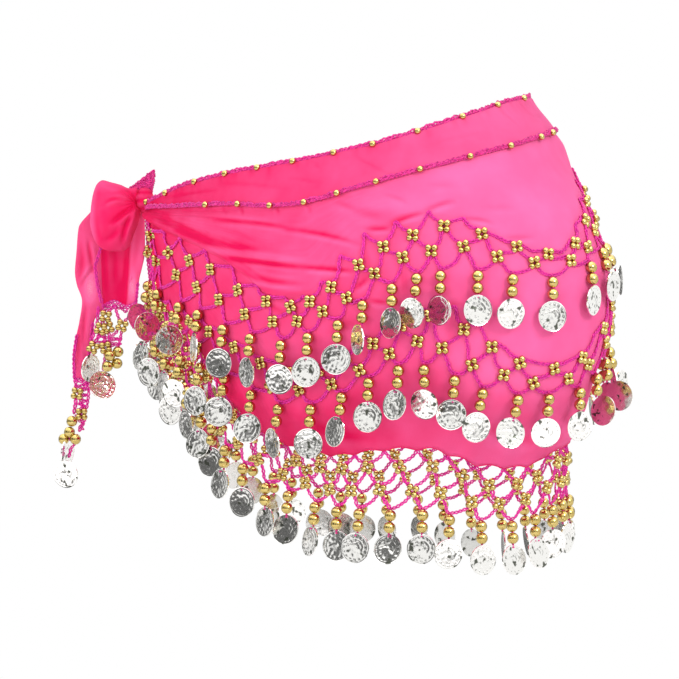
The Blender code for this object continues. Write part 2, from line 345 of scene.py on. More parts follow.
def turned_frames(along: Array, outward: Array) -> Array:
    """Make right-handed frames: the first axis along, the third as near outward as it can be.

    Args:
        along: One direction for each frame.
        outward: The direction that each frame's third axis leans to.

    Returns:
        Rotation matrices whose columns are the three axes.
    """
    first = unit(along)
    third = unit(outward - first * (outward * first).sum(-1, keepdims=True))
    return np.stack([first, np.cross(third, first), third], -1)


def upright_frames(outward: Array) -> Array:
    """Make frames that face outward: first axis level, second as near up as it can be."""
    return turned_frames(np.cross(UP, outward), outward)


def spun(angle: Array, axis: int) -> Array:
    """Make rotations about one of the three axes.

    Args:
        angle: The angles in radians.
        axis: 0, 1 or 2.

    Returns:
        One rotation matrix for each angle.
    """
    first, second = [(1, 2), (2, 0), (0, 1)][axis]
    turned = np.zeros((*np.shape(angle), 3, 3))
    turned[..., axis, axis] = 1.0
    turned[..., first, first] = np.cos(angle)
    turned[..., second, second] = np.cos(angle)
    turned[..., first, second] = -np.sin(angle)
    turned[..., second, first] = np.sin(angle)
    return turned


@dataclass
class MeshParts:
    """Points and faces gathered for one mesh, with named values at the points."""

    points: list[Array] = field(default_factory=list)
    faces: list[Array] = field(default_factory=list)
    values: dict[str, list[Array]] = field(default_factory=dict)
    chart: list[Array] = field(default_factory=list)
    count: int = 0

    def add(
        self, points: Array, faces: tuple[Array, ...], chart: Array | None = None,
        **values: Array | float
    ) -> None:
        """Add points and the faces between them.

        Args:
            points: The points, three coordinates last.
            faces: Arrays of corner numbers, one array for each number of corners.
            chart: Two lengths for each point, measured on the flat cloth.
            values: Named values at the points; every part of one mesh has the same names.
        """
        flat = points.reshape(-1, 3)
        self.points.append(flat)
        self.faces.extend(part + self.count for part in faces)
        self.chart.append(np.zeros((len(flat), 2)) if chart is None else chart.reshape(-1, 2))
        for name, value in values.items():
            spread = np.broadcast_to(value, points.shape[:-1]).reshape(-1)
            self.values.setdefault(name, []).append(spread)
        self.count += len(flat)

    def stamp(self, shape: Shape, places: Array, frames: Array, size: Array | float = 1.0) -> None:
        """Copy a shape to many places: each point is turned by its frame, then moved.

        Args:
            shape: The shape to copy.
            places: Where each copy's middle goes.
            frames: Each copy's rotation matrix.
            size: Each copy's scale.
        """
        scale = np.broadcast_to(size, (len(places),))[:, None, None]
        local = shape.points[None] * scale
        points = places[:, None] + np.einsum("nij,nkj->nki", frames, local)
        shift = (np.arange(len(places)) * len(shape.points))[:, None, None]
        faces = tuple((part[None] + shift).reshape(-1, part.shape[1]) for part in shape.faces)
        values = {}
        if shape.relief is not None:
            values["relief"] = np.tile(shape.relief, (len(places), 1))
        self.add(points, faces, **values)

    def make(self, name: str, finish: "Finish", sharp: float = 180.0) -> Object:
        """Turn what was gathered into one object.

        Args:
            name: The object's name.
            finish: The finish that it is dressed in.
            sharp: The angle in degrees past which an edge stays crisp.

        Returns:
            The new object, with its place in its mesh.
        """
        mesh = bpy.data.meshes.new(name)
        points = np.concatenate(self.points).astype(np.float32)
        corners = np.concatenate([part.ravel() for part in self.faces]).astype(np.int32)
        sizes = np.concatenate([np.full(len(part), part.shape[1]) for part in self.faces])
        starts = np.concatenate([[0], np.cumsum(sizes)[:-1]]).astype(np.int32)
        mesh.vertices.add(len(points))
        mesh.vertices.foreach_set("co", points.ravel())
        mesh.loops.add(len(corners))
        mesh.loops.foreach_set("vertex_index", corners)
        mesh.polygons.add(len(sizes))
        mesh.polygons.foreach_set("loop_start", starts)
        mesh.update(calc_edges=True)
        chart = mesh.uv_layers.new(name="flat_cloth")
        lengths = np.concatenate(self.chart).astype(np.float32)
        chart.uv.foreach_set("vector", lengths[corners].ravel())
        for label, parts in self.values.items():
            kept = mesh.attributes.new(label, "FLOAT", "POINT")
            kept.data.foreach_set("value", np.concatenate(parts).astype(np.float32))
        mesh.validate()
        mesh.shade_smooth()
        if sharp < 180.0:
            mesh.set_sharp_from_angle(angle=math.radians(sharp))
        mesh.materials.append(finish.material())
        return place_in_scene(name, mesh)


def place_in_scene(name: str, data: bpy.types.ID) -> Object:
    """Make an object of some data and link it to the scene.

    Args:
        name: The object's name.
        data: Its mesh, light or camera.

    Returns:
        The new object.
    """
    made = bpy.data.objects.new(name, data)
    bpy.context.scene.collection.objects.link(made)
    return made


def give_wall(piece: Object, wall: float) -> Object:
    """Give a sheet its thickness, half on each side, and close its rim.

    Args:
        piece: The sheet.
        wall: Its thickness.

    Returns:
        The same piece.
    """
    solid = piece.modifiers.new("wall", "SOLIDIFY")
    solid.thickness = wall
    solid.offset = 0.0
    return piece


def settle(piece: Object, slot: Slot, *nodes: str) -> Object:
    """Let a finished piece ride with the scarf, in the place of its solids.

    Args:
        piece: The finished piece.
        slot: The record's material slot meant for it; not used.
        nodes: The solids that it stands for.

    Returns:
        The same piece.
    """
    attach(piece, "root")
    if nodes:
        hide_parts(*nodes)
    return piece


# ---- Finishes ----

MIX_FACTOR, MIX_FIRST, MIX_SECOND, MIX_RESULT = 0, 6, 7, 2
DRAWN_WEAVE_MM = 1.3


def linear(colour: str) -> tuple[float, float, float, float]:
    """Turn an sRGB hex colour into the linear values that a shader takes.

    Args:
        colour: The colour, such as #FF8800.

    Returns:
        Red, green, blue and a full alpha.
    """
    parts = np.array([int(colour[i : i + 2], 16) for i in (1, 3, 5)]) / 255.0
    curved = np.where(parts <= 0.04045, parts / 12.92, ((parts + 0.055) / 1.055) ** 2.4)
    return (*curved.tolist(), 1.0)


def add_node(tree: NodeTree, kind: str, sockets: dict | None = None, **own: object) -> Node:
    """Add a node with its settings and links.

    Args:
        tree: The tree that it goes into.
        kind: Its type, without the ShaderNode that each one begins with.
        sockets: By a socket's name or number, its value or what feeds it: an output, or a node
            by its first output.
        own: Values for the node's own properties.

    Returns:
        The new node.
    """
    node = tree.nodes.new("ShaderNode" + kind)
    for name, value in own.items():
        setattr(node, name, value)
    for name, value in (sockets or {}).items():
        if isinstance(value, (Node, NodeSocket)):
            output = value.outputs[0] if isinstance(value, Node) else value
            tree.links.new(output, node.inputs[name])
        else:
            node.inputs[name].default_value = value
    return node


@dataclass(frozen=True)
class Finish:
    """A finish of the scarf. Each kind builds its own nodes."""

    name: str

    def material(self) -> Material:
        """Give the finish's material, made once.

        Returns:
            The material, named for the finish.
        """
        if self.name in bpy.data.materials:
            return bpy.data.materials[self.name]
        made = bpy.data.materials.new(self.name)
        made.use_nodes = True
        made.node_tree.nodes.clear()
        add_node(made.node_tree, "OutputMaterial", {"Surface": self.shader(made.node_tree)})
        return made

    def shader(self, tree: NodeTree) -> Node:
        """Build the finish's shader; each kind of finish has its own."""
        raise NotImplementedError


@dataclass(frozen=True)
class Chiffon(Finish):
    """Polyester chiffon, plain-woven from hard-twisted threads and dyed bright pink.

    It is fine and dull, with a faint grain and a soft glow where light comes through. One layer is
    a paler, cooler pink; the gathered value deepens it to a red-pink, partly where layers add up
    and partly as painted shade and painted highlight.
    """

    single_layer: str = "#F874B2"
    # The deep end of the mix, reached by gathered layers and by painted shade.
    gathered: str = "#E40F58"
    sheer: bool = False
    glow: float = 0.22

    def shader(self, tree: NodeTree) -> Node:
        """Mix the two pinks by the gathered value, painted shade included, over a drawn-coarse
        plain weave.

        Args:
            tree: The material's tree.

        Returns:
            The last shader.
        """
        gathered, along, across, pleated = (
            add_node(tree, "Attribute", attribute_name=name).outputs["Fac"]
            for name in ("gathered", "fan_along", "fan_across", "pleated")
        )
        # Slow unevenness of the dye and of how the layers lie, about 25 mm across.
        place = add_node(tree, "TexCoord").outputs["Object"]
        cloudy = add_node(tree, "TexNoise", {"Vector": place, "Scale": 40.0, "Detail": 3.0})
        dye = {"From Min": 0.3, "From Max": 0.7, "To Min": -0.10, "To Max": 0.10}
        uneven = add_node(tree, "MapRange", {"Value": cloudy, **dye})
        # Fine pleats that run out from the knot, in lengths of about 55 mm.
        spread = add_node(tree, "CombineXYZ", {"X": along, "Y": across})
        streaks = add_node(tree, "TexNoise", {"Vector": spread, "Scale": 1.0, "Detail": 2.5})
        both_ways = {"From Min": 0.32, "From Max": 0.68, "To Min": -0.5, "To Max": 0.5}
        streaked = add_node(tree, "MapRange", {"Value": streaks, **both_ways})
        pleats = add_node(tree, "Math", {0: streaked, 1: pleated}, operation="MULTIPLY")
        # Painted shade: the pink deepens where the pleats' bump sinks; the dye's slow unevenness
        # is added to it.
        pleat_shade_and_dye = add_node(tree, "Math", {0: pleats, 1: 0.13, 2: uneven}, operation="MULTIPLY_ADD")
        depth = add_node(tree, "Math", {0: gathered, 1: pleat_shade_and_dye}, operation="ADD", use_clamp=True)
        ends = {MIX_FIRST: linear(self.single_layer), MIX_SECOND: linear(self.gathered)}
        mixed = add_node(tree, "Mix", {MIX_FACTOR: depth, **ends}, data_type="RGBA")
        pink = mixed.outputs[MIX_RESULT]
        # Chiffon has a thread about every 0.35 mm. Drawn at 1.3 mm, or it wouldn't show at all.
        chart = add_node(tree, "UVMap", uv_map="flat_cloth")
        threads = 1000.0 / DRAWN_WEAVE_MM / 2
        bands = {"Vector": chart, "Scale": threads / 3.1416, "Distortion": 0.6}
        weave = [
            add_node(tree, "TexWave", bands, bands_direction=way).outputs["Fac"] for way in "XY"
        ]
        crossed = add_node(tree, "Math", dict(enumerate(weave)), operation="MAXIMUM")
        folds = {"Height": pleats, "Strength": 0.35, "Distance": 0.0014}
        rippled = add_node(tree, "Bump", folds, invert=True)
        grain = {"Height": crossed, "Normal": rippled, "Strength": 0.10, "Distance": 0.0002}
        look = {
            "Base Color": pink, "Normal": add_node(tree, "Bump", grain), "Roughness": 0.78,
            "Specular IOR Level": 0.12, "Sheen Weight": 0.06, "Sheen Roughness": 0.45,
            "Sheen Tint": linear("#FFB4D2")
        }
        cloth = add_node(tree, "BsdfPrincipled", look)
        through = add_node(tree, "BsdfTranslucent", {"Color": pink})
        lit = add_node(tree, "MixShader", {0: self.glow, 1: cloth, 2: through})
        if not self.sheer:
            return lit
        # A single free layer lets about half of what is behind it show.
        cover = add_node(tree, "Attribute", attribute_name="cover").outputs["Fac"]
        clear = add_node(tree, "BsdfTransparent", {"Color": linear("#FFC4DA")})
        return add_node(tree, "MixShader", {0: cover, 1: clear, 2: lit})


@dataclass(frozen=True)
class CrochetThread(Finish):
    """Mercerised cotton thread, twisted from plies and crocheted: dull, with a slight shine."""

    colour: str = "#E4249A"
    shade: str = "#B81880"

    def shader(self, tree: NodeTree) -> Node:
        """Streak the thread with its plies, with painted shade in the grooves between them.

        Args:
            tree: The material's tree.

        Returns:
            The last shader.
        """
        place = add_node(tree, "TexCoord").outputs["Object"]
        # The plies are about 0.3 mm; the streaks are drawn at about 0.8 mm, so that they show.
        plies = add_node(tree, "TexNoise", {"Vector": place, "Scale": 1250.0, "Detail": 2.0})
        contrast = add_node(tree, "MapRange", {"Value": plies, "From Min": 0.38, "From Max": 0.58})
        # Painted shade: where the plies' bump sinks, the thread takes the darker colour.
        ends = {MIX_FIRST: linear(self.shade), MIX_SECOND: linear(self.colour)}
        colour = add_node(tree, "Mix", {MIX_FACTOR: contrast, **ends}, data_type="RGBA")
        raised = add_node(tree, "Bump", {"Height": plies, "Strength": 0.35, "Distance": 0.0003})
        look = {
            "Base Color": colour.outputs[MIX_RESULT], "Normal": raised, "Roughness": 0.55,
            "Sheen Weight": 0.12, "Sheen Roughness": 0.5, "Sheen Tint": linear("#FF8AD0")
        }
        return add_node(tree, "BsdfPrincipled", look)


@dataclass(frozen=True)
class PlatedBead(Finish):
    """Hollow plastic beads, vacuum-plated pale gold: a mirror that is very slightly soft."""

    colour: str = "#E0CC86"
    dull: str = "#AE934A"

    def shader(self, tree: NodeTree) -> Node:
        """Vary the plating a little from bead to bead.

        Args:
            tree: The material's tree.

        Returns:
            The last shader.
        """
        place = add_node(tree, "TexCoord").outputs["Object"]
        patchy = add_node(tree, "TexNoise", {"Vector": place, "Scale": 260.0, "Detail": 2.0})
        ends = {MIX_FIRST: linear(self.colour), MIX_SECOND: linear(self.dull)}
        colour = add_node(tree, "Mix", {MIX_FACTOR: patchy, **ends}, data_type="RGBA")
        soft = add_node(tree, "MapRange", {"Value": patchy, "To Min": 0.07, "To Max": 0.14})
        look = {"Base Color": colour.outputs[MIX_RESULT], "Roughness": soft, "Metallic": 1.0}
        return add_node(tree, "BsdfPrincipled", look)


@dataclass(frozen=True)
class StampedCoin(Finish):
    """Thin iron discs, stamped and plated silver: bright high spots over painted shade in the
    recesses.
    """

    colour: str = "#F6F5F1"
    # The colour painted into the recesses and the dents' hollows as shade.
    recess_shade: str = "#5E6158"

    def shader(self, tree: NodeTree) -> Node:
        """Paint shade into the recesses and the dents' hollows, and strike uneven relief into the
        face, about 2 mm across.

        Args:
            tree: The material's tree.

        Returns:
            The last shader.
        """
        place = add_node(tree, "TexCoord").outputs["Object"]
        relief = add_node(tree, "Attribute", attribute_name="relief").outputs["Fac"]
        dents = add_node(tree, "TexNoise", {"Vector": place, "Scale": 260.0, "Detail": 1.5})
        # Painted shade where the dents' bump sinks, and below it in the struck recesses.
        dent_shade_mask = add_node(tree, "MapRange", {"Value": dents, "From Min": 0.33, "From Max": 0.40})
        flat = add_node(tree, "MapRange", {"Value": relief, "From Min": 0.10, "From Max": 0.55})
        raised = add_node(tree, "Math", {0: flat, 1: dent_shade_mask}, operation="MINIMUM")
        ends = {MIX_FIRST: linear(self.recess_shade), MIX_SECOND: linear(self.colour)}
        colour = add_node(tree, "Mix", {MIX_FACTOR: raised, **ends}, data_type="RGBA")
        dull = add_node(tree, "MapRange", {"Value": raised, "To Min": 0.34, "To Max": 0.14})
        bump = add_node(tree, "Bump", {"Height": dents, "Strength": 0.16, "Distance": 0.0012})
        look = {
            "Base Color": colour.outputs[MIX_RESULT], "Roughness": dull, "Normal": bump,
            "Metallic": 1.0
        }
        return add_node(tree, "BsdfPrincipled", look)


@dataclass(frozen=True)
class MattPaper(Finish):
    """Seamless background paper, matt and pale, that lamps of its own light far from the scarf."""

    colour: str = "#F4F2F3"

    def shader(self, tree: NodeTree) -> Node:
        """Lay one plain dull shader, which glows softly from 1.2 m out, so no horizon shows.

        Args:
            tree: The material's tree.

        Returns:
            The last shader.
        """
        place = add_node(tree, "TexCoord").outputs["Object"]
        reach = add_node(tree, "VectorMath", {0: place}, operation="LENGTH").outputs["Value"]
        far = {"From Min": 1.2, "From Max": 3.0, "To Min": 0.0, "To Max": 0.55}
        look = {
            "Base Color": linear(self.colour), "Roughness": 0.9, "Specular IOR Level": 0.2,
            "Emission Color": linear(self.colour),
            "Emission Strength": add_node(tree, "MapRange", {"Value": reach, **far})
        }
        return add_node(tree, "BsdfPrincipled", look)


CLOTH = Chiffon("polyester chiffon, plain-woven, dyed pink")
LOOSE_CLOTH = Chiffon("polyester chiffon, plain-woven, free end", sheer=True)
THREAD = CrochetThread("mercerised cotton thread, crocheted")
EDGE_THREAD = CrochetThread("mercerised cotton thread, edging", "#DE2A88", "#A6186A")
GOLD = PlatedBead("plastic bead, vacuum-plated gold")
SILVER = StampedCoin("iron coin, stamped, plated silver")
PAPER = MattPaper("background paper, matt")


# ---- Creases ----


@dataclass(frozen=True)
class Crease:
    """A soft trough along a bent line, with a low ridge beside it; a negative depth is a ridge."""

    points: tuple[tuple[float, float], tuple[float, float], tuple[float, float]]
    depth: float
    width: float
    ridge: float = 0.55

    def offset(self, across: Array, height: Array) -> Array:
        """Work out how far the crease moves the cloth.

        The line is a quadratic curve through the three points, taken as twelve straight bits. The
        offset is a bell curve of the distance from it, plus a bell on its lower side, and it dies
        away at both ends.

        Args:
            across: Lengths across the cloth.
            height: Heights on the cloth, shaped as across.

        Returns:
            The offset outwards, negative in the trough.
        """
        start, middle, end = (np.array(point) for point in self.points)
        pull = 2 * middle - (start + end) / 2
        part = np.linspace(0.0, 1.0, 13)
        path = np.outer((1 - part) ** 2, start) + np.outer(2 * part * (1 - part), pull)
        path = path + np.outer(part**2, end)
        spare = 5 * self.width
        low, high = path.min(0) - spare, path.max(0) + spare
        beside = (across > low[0]) & (across < high[0]) & (height > low[1]) & (height < high[1])
        moved = np.zeros(np.shape(across))
        way = np.diff(path, axis=0)
        gap = np.stack([across[beside], height[beside]], -1)[:, None] - path[:-1]
        along = np.clip((gap * way).sum(-1) / (way**2).sum(-1), 0.0, 1.0)
        away = np.linalg.norm(gap - along[..., None] * way, axis=-1)
        row, nearest = np.arange(len(away)), away.argmin(1)
        near = away[row, nearest]
        below = (way[..., 1] * gap[..., 0] - way[..., 0] * gap[..., 1])[row, nearest]
        run = (nearest + along[row, nearest]) / (len(part) - 1)
        taper = np.sin(np.pi * np.clip(run, 0.03, 0.97)) ** 0.7
        ridge = self.ridge * hump(np.sign(below) * near - 1.5 * self.width, 1.1 * self.width)
        moved[beside] = self.depth * taper * (ridge - hump(near, self.width))
        return moved


# Each crease: three places, each a turn or a length across and a height, then depth and width.
# All lengths are in millimetres. They fan out from the knot, and a few lie on the other hip.
CREASE = "across_a height_a across_b height_b across_c height_c depth width"
PANEL_CREASES = table(CREASE, [
    (47.5, -47, 60, -49.5, 69.5, -54, 1.1, 1.6), (68, -54, 77, -57.5, 85, -63.5, 1.2, 1.7),
    (44.5, -42.5, 56, -46.5, 65.5, -49.5, -0.6, 1.8),
    (49.5, -70.5, 62, -74.5, 72, -77.5, 1.3, 1.7), (70.5, -77, 76.5, -78.5, 83, -79.5, 1.6, 1.6),
    (43, -64, 59, -69.5, 74, -75, -1, 2.6), (35.5, -54.5, 50.5, -63.5, 69, -68, 0.8, 2.8),
    (19.5, -40.5, 33.5, -50.5, 43.5, -59, 1.2, 2.4),
    (26.5, -40.5, 39, -48, 52.5, -57.5, -0.8, 4.5), (54.5, -81, 61.5, -85.5, 70, -87, 0.6, 1.8),
    (56, -77.5, 62.5, -82, 71, -85, -0.4, 1.6), (54, -82.5, 60.5, -87.5, 70, -90.5, -0.6, 1.6),
    (87.5, -54.5, 90.5, -54.5, 93.5, -54, 1.3, 1.5), (93.5, -52, 97.5, -48, 103, -44.5, 1.6, 1.5),
    (103, -44, 106.5, -40.5, 111, -37.5, 1.3, 1.5), (111.5, -48.5, 115.5, -49, 119.5, -51, 1, 1.5),
    (121.5, -60, 125.5, -60, 130.5, -59, 0.8, 1.5), (85, -43, 88.5, -45.5, 92.5, -46, 0.5, 2.8),
    (94, -33.5, 97, -36, 99, -39, 0.5, 1.7), (82, -38, 84, -40, 86.5, -42.5, 0.5, 2),
    (87.5, -36.5, 93.5, -40.5, 102, -41, -0.5, 5), (105.5, -28, 109, -28, 113, -27.5, 0.35, 2),
    (118, -41.5, 123, -41.5, 128, -40.5, 0.4, 1.9), (50.5, -39.5, 51, -42, 51, -45, 0.6, 1.2),
    (56, -39.5, 56.5, -42, 56, -45.5, 0.6, 1.2), (66.5, -39.5, 66.5, -42, 66.5, -44.5, 0.6, 1.2),
    (75, -39.5, 75, -42, 74.5, -44.5, 0.6, 1.2), (82.5, -90.5, 84.5, -87.5, 86.5, -82.5, 1, 1.8),
    (86, -97.5, 88.5, -98.5, 91, -99, 1.2, 1.6), (103.5, -100.5, 105.5, -100.5, 108, -100, 1, 1.6),
    (86, -65, 86, -75, 85, -83, 0.5, 3), (94, -78.5, 94.5, -88.5, 93.5, -97.5, 0.6, 3),
    (59, -97, 62, -102, 65.5, -104.5, 0.6, 2.2), (76.5, -115.5, 82, -111, 86.5, -114, 0.5, 3.5),
    (117, -170, 128.5, -179.5, 144, -182.5, 0.9, 3.2),
    (68.5, -170.5, 77, -177.5, 88.5, -181, 0.8, 3.2),
    (143.5, -164, 156, -173.5, 170, -179, 0.7, 3.2), (103, -97.5, 105, -115.5, 105, -127.5, 0.4, 4)
])

# The same round the back, where the tie pulls the cloth the other way.
BACK_CREASES = table(CREASE, [
    (348, -37, 326, -42, 306, -47.5, 1.2, 1.8), (306, -48, 293, -53, 280, -58, 1.1, 1.6),
    (316, -43, 303, -45.5, 292, -49, -0.6, 1.8), (349, -40, 330, -50, 316, -58, 1.1, 2.4),
    (322, -63, 302, -69, 284, -75, -1, 2.7), (312, -69, 298, -74, 285, -78, 1.3, 1.7),
    (287, -77, 282, -79, 276, -79.5, 1.4, 1.6), (324, -55, 309, -63, 292, -67, 0.8, 2.8),
    (304, -82, 297, -87, 289, -89, -0.6, 1.8), (272, -54.5, 269, -54.5, 266, -54, 1.2, 1.5),
    (266, -51.5, 261, -48, 256, -44.5, 1.4, 1.6), (250, -48, 245, -48.5, 240, -51, 0.9, 1.6),
    (238, -60, 234, -60.5, 229, -59, 0.7, 1.6), (275, -43, 271, -45, 267, -45.5, 0.5, 2.8),
    (262, -34, 258, -37, 254, -40, 0.5, 2), (262, -100, 255, -108, 250, -120, 0.7, 2.8),
    (283, -168, 268, -181, 252, -183, 0.9, 3.2), (236, -158, 224, -168, 212, -170, 0.7, 3.6),
    (205, -12, 192, -16, 181, -15, 0.6, 2.6), (184, -60, 178, -66, 170, -70, 0.6, 2.8),
    (330, -78, 322, -84, 318, -94, 0.8, 2.6)
])

WAIST_CREASES = table(CREASE, [
    (88, -9, 92, -15.5, 96.5, -21.5, 0.6, 1.5), (77, -11.5, 78.5, -15.5, 79.5, -20, 0.5, 1.3),
    (70, -22.5, 74.5, -24, 79, -26, 0.45, 1.4), (138, 19, 140.5, 14.5, 142, 9.5, 0.5, 1.4),
    (24, -31.5, 38, -30, 52, -28, 0.7, 1.5), (48, -24.5, 60, -26, 70, -29.5, 0.5, 1.7),
    (108, -4, 118, 1.5, 128, 5, 0.35, 1.7), (150, 20, 158, 17, 168, 19, 0.4, 1.7),
    (336, -31.5, 322, -30, 308, -27, 0.7, 1.5), (283, -11, 281, -16, 280, -21, 0.5, 1.4),
    (262, -6, 257, -12, 253, -15, 0.5, 1.5), (224, 17, 221, 12, 219, 7, 0.5, 1.4),
    (200, 22, 190, 18, 183, 20, 0.4, 1.7)
])


def creases_from(rows: dict[str, Array], turns: bool = True) -> tuple[Crease, ...]:
    """Make creases from a table in millimetres.

    Args:
        rows: The table, which may have a column of ridges.
        turns: Whether the places across are turns, to be made lengths round the hips.

    Returns:
        One crease for each row.
    """
    count = len(rows["depth"])
    columns = {name: MM * values for name, values in rows.items()}
    columns["ridge"] = rows.get("ridge", np.full(count, Crease.ridge))
    if turns:
        for corner in "abc":
            columns["across_" + corner] = FORM.way_round(rows["across_" + corner])
    made = []
    for row in range(count):
        own = {name: values[row] for name, values in columns.items()}
        points = tuple((own["across_" + corner], own["height_" + corner]) for corner in "abc")
        made.append(Crease(points, own["depth"], own["width"], own["ridge"]))
    return tuple(made)


def creased(creases: tuple[Crease, ...], across: Array, height: Array) -> Array:
    """Add up what each of the creases does at each place."""
    return sum(crease.offset(across, height) for crease in creases)


# ---- Where the nets' cells are ----


def mirrored(half: tuple[float, ...], wander: float, seed: int) -> Array:
    """Mirror turns of the front half round the back, and let those stray a little.

    Args:
        half: Rising turns, all under 180.
        wander: How many degrees a mirrored turn may move either way.
        seed: The seed of the straying.

    Returns:
        Rising turns all the way round.
    """
    moved = np.random.default_rng(seed).uniform(-wander, wander, len(half))
    return np.concatenate([half, 360.0 - np.array(half)[::-1] + moved])


# The turns where each net starts beside the knot: its first lower flower, and its first tie.
FIRST_JOINT, FIRST_TIE = 5.4, 5.2


@dataclass(frozen=True)
class Cells:
    """The places of one net's cells.

    Each upper flower hangs between two places on its seam, each lower flower between two upper
    ones, and each dangle between two lower ones. A row holds an upper flower, the lower flower
    after it and the dangle under it; a share is how far down the net each is.
    """

    sewn: str
    foot: str
    rows: dict[str, Array]
    end_share: float
    seed: int
    tied: str
    drift: tuple[tuple[float, float], ...] = ((0.0, 0.0),)

    def wander(self) -> Array:
        """Give how far each hidden cell strays, in degrees."""
        return np.random.default_rng(self.seed).uniform(-0.8, 0.8, len(self.rows["flower"]))

    def all_round(self, name: str) -> Array:
        """Give turns all the way round: the table's, then the same mirrored and strayed."""
        half = self.rows[name]
        return np.concatenate([half, (360.0 - half + self.wander())[::-1]])

    def upper(self) -> Array:
        """Give the upper flowers' turns and heights."""
        shares = self.rows["flower_share"]
        return self.heights(self.all_round("flower"), np.concatenate([shares, shares[::-1]]))

    def joints(self) -> Array:
        """Give the lower flowers' turns and heights, with one at each end of the net.

        Returns:
            One row of turn and height for each.
        """
        half, shares = self.rows["joint"][:-1], self.rows["joint_share"][:-1]
        back = (360.0 - half + self.wander()[:-1])[::-1]
        turns = np.concatenate([[FIRST_JOINT], half, [180.0], back, [360.0 - FIRST_JOINT]])
        middle = self.rows["joint_share"][-1]
        ends = np.array([self.end_share])
        return self.heights(turns, np.concatenate([ends, shares, [middle], shares[::-1], ends]))

    def dangles(self) -> Array:
        """Give the turns and heights of the points that the dangles hang from."""
        shares = self.rows["dangle_share"]
        return self.heights(self.all_round("dangle"), np.concatenate([shares, shares[::-1]]))

    def seam_turns(self) -> Array:
        """Give the turns where the net is tied: about half way between the upper flowers.

        Returns:
            Rising turns, one more than the upper flowers.
        """
        flowers = self.all_round("flower")
        middles = (flowers[1:] + flowers[:-1]) / 2
        moved = np.interp(from_knot(middles), *np.array(self.drift).T)
        middles = middles + moved * np.sign(180.0 - middles)
        return np.concatenate([[FIRST_TIE], middles, [360.0 - FIRST_TIE]])

    def heights(self, turn: Array, share: Array) -> Array:
        """Pair turns with the heights that lie these shares of the way down the net."""
        top, bottom = FORM.line(self.sewn, turn), FORM.line(self.foot, turn)
        return np.stack([turn, top + (bottom - top) * share], -1)

    def phase(self, turn: Array) -> Array:
        """Count cells: whole at an upper flower, and a half at each place on the seam."""
        flowers = self.all_round("flower")
        return np.interp(turn, flowers, np.arange(len(flowers)))


# The turn and the share of an upper flower, a lower one and a dangle, and its coin's turn.
CELL = "flower flower_share joint joint_share dangle dangle_share yaw"

UPPER_CELLS = Cells(
    "upper_sewn", "upper_foot",
    table(CELL, [
        (12.5, 0.12, 15.5, 0.52, 6, 1.04, 125), (26, 0.25, 29, 0.57, 16, 0.95, 108),
        (36, 0.23, 38, 0.61, 30, 0.97, 88), (44, 0.17, 46, 0.6, 38.5, 0.93, -19),
        (52.5, 0.25, 54, 0.65, 47.5, 0.95, 21), (60.5, 0.14, 62, 0.59, 56, 0.95, -16),
        (67, 0.27, 68.5, 0.68, 64.5, 1.01, 12), (72, 0.3, 75, 0.72, 71.5, 1.04, 15),
        (77.5, 0.39, 81, 0.78, 79, 1.04, 13), (84.5, 0.44, 88, 0.72, 85, 1.01, -45),
        (91, 0.35, 95, 0.65, 92, 1.02, -34), (98.5, 0.34, 102, 0.68, 98, 0.99, -30),
        (106.5, 0.23, 110, 0.57, 103.5, 1, -38), (115.5, 0.18, 118, 0.62, 112.5, 1, 18),
        (124, 0.08, 128, 0.53, 121.5, 1, 12), (133, 0.11, 140.5, 0.46, 133, 1.04, -7),
        (144, 0.06, 149.5, 0.61, 148.5, 0.94, 10), (153.5, 0.19, 158.5, 0.6, 158.5, 0.9, -4),
        (163, 0.25, 168, 0.64, 167, 0.96, 14), (172.5, 0.25, 180, 0.66, 175.5, 1, -9)
    ]),
    end_share=0.54, seed=11, tied="tied",
    drift=(
        (19, 4), (31, 1), (40, 2.5), (48, 2.8), (56.5, 1), (64, 1.3), (69, 0.3), (74, 0.5),
        (79.6, -0.6), (86, -1.2), (94, 0.1), (102, 1.2), (111, 0.5), (149, -0.7), (180, 0)
    )
)
MIDDLE_CELLS = Cells(
    "middle_sewn", "middle_foot",
    table(CELL, [
        (8, 0.25, 11, 0.62, 6, 0.98, 30), (17, 0.24, 20, 0.64, 14, 0.97, 39),
        (25.5, 0.26, 28, 0.63, 22, 0.96, 3), (33.5, 0.22, 36, 0.66, 29.5, 0.94, 27),
        (41.5, 0.2, 44, 0.64, 37.5, 0.92, 20), (50, 0.18, 53, 0.62, 46.5, 0.91, 33),
        (58, 0.16, 60.5, 0.64, 55, 0.92, 23), (65.5, 0.24, 68.5, 0.68, 63, 0.98, -24),
        (73.5, 0.34, 77, 0.77, 72, 1.03, 14), (80.5, 0.38, 84, 0.8, 80, 1.04, -27),
        (87, 0.38, 91, 0.77, 86.5, 1.04, 0), (93.5, 0.28, 97.5, 0.61, 93.5, 1, -29),
        (100.5, 0.2, 103.5, 0.71, 99.5, 0.97, -22), (108.5, 0.27, 111.5, 0.72, 107.5, 1.01, -10),
        (116, 0.22, 120.5, 0.61, 115.5, 1.01, 15), (124.5, 0.15, 130, 0.65, 126, 1.01, -1),
        (136, 0.17, 142.5, 0.58, 136, 0.99, -19), (146.5, 0.11, 151, 0.56, 148.5, 0.93, -19),
        (156, 0.2, 161, 0.62, 158.5, 0.96, 74), (166, 0.25, 171, 0.66, 168, 1, 70),
        (175, 0.25, 180, 0.66, 176, 1, 12)
    ]),
    end_share=0.60, seed=23, tied="middle_sewn", drift=((92, 0), (104.4, 1.7), (113, 0))
)
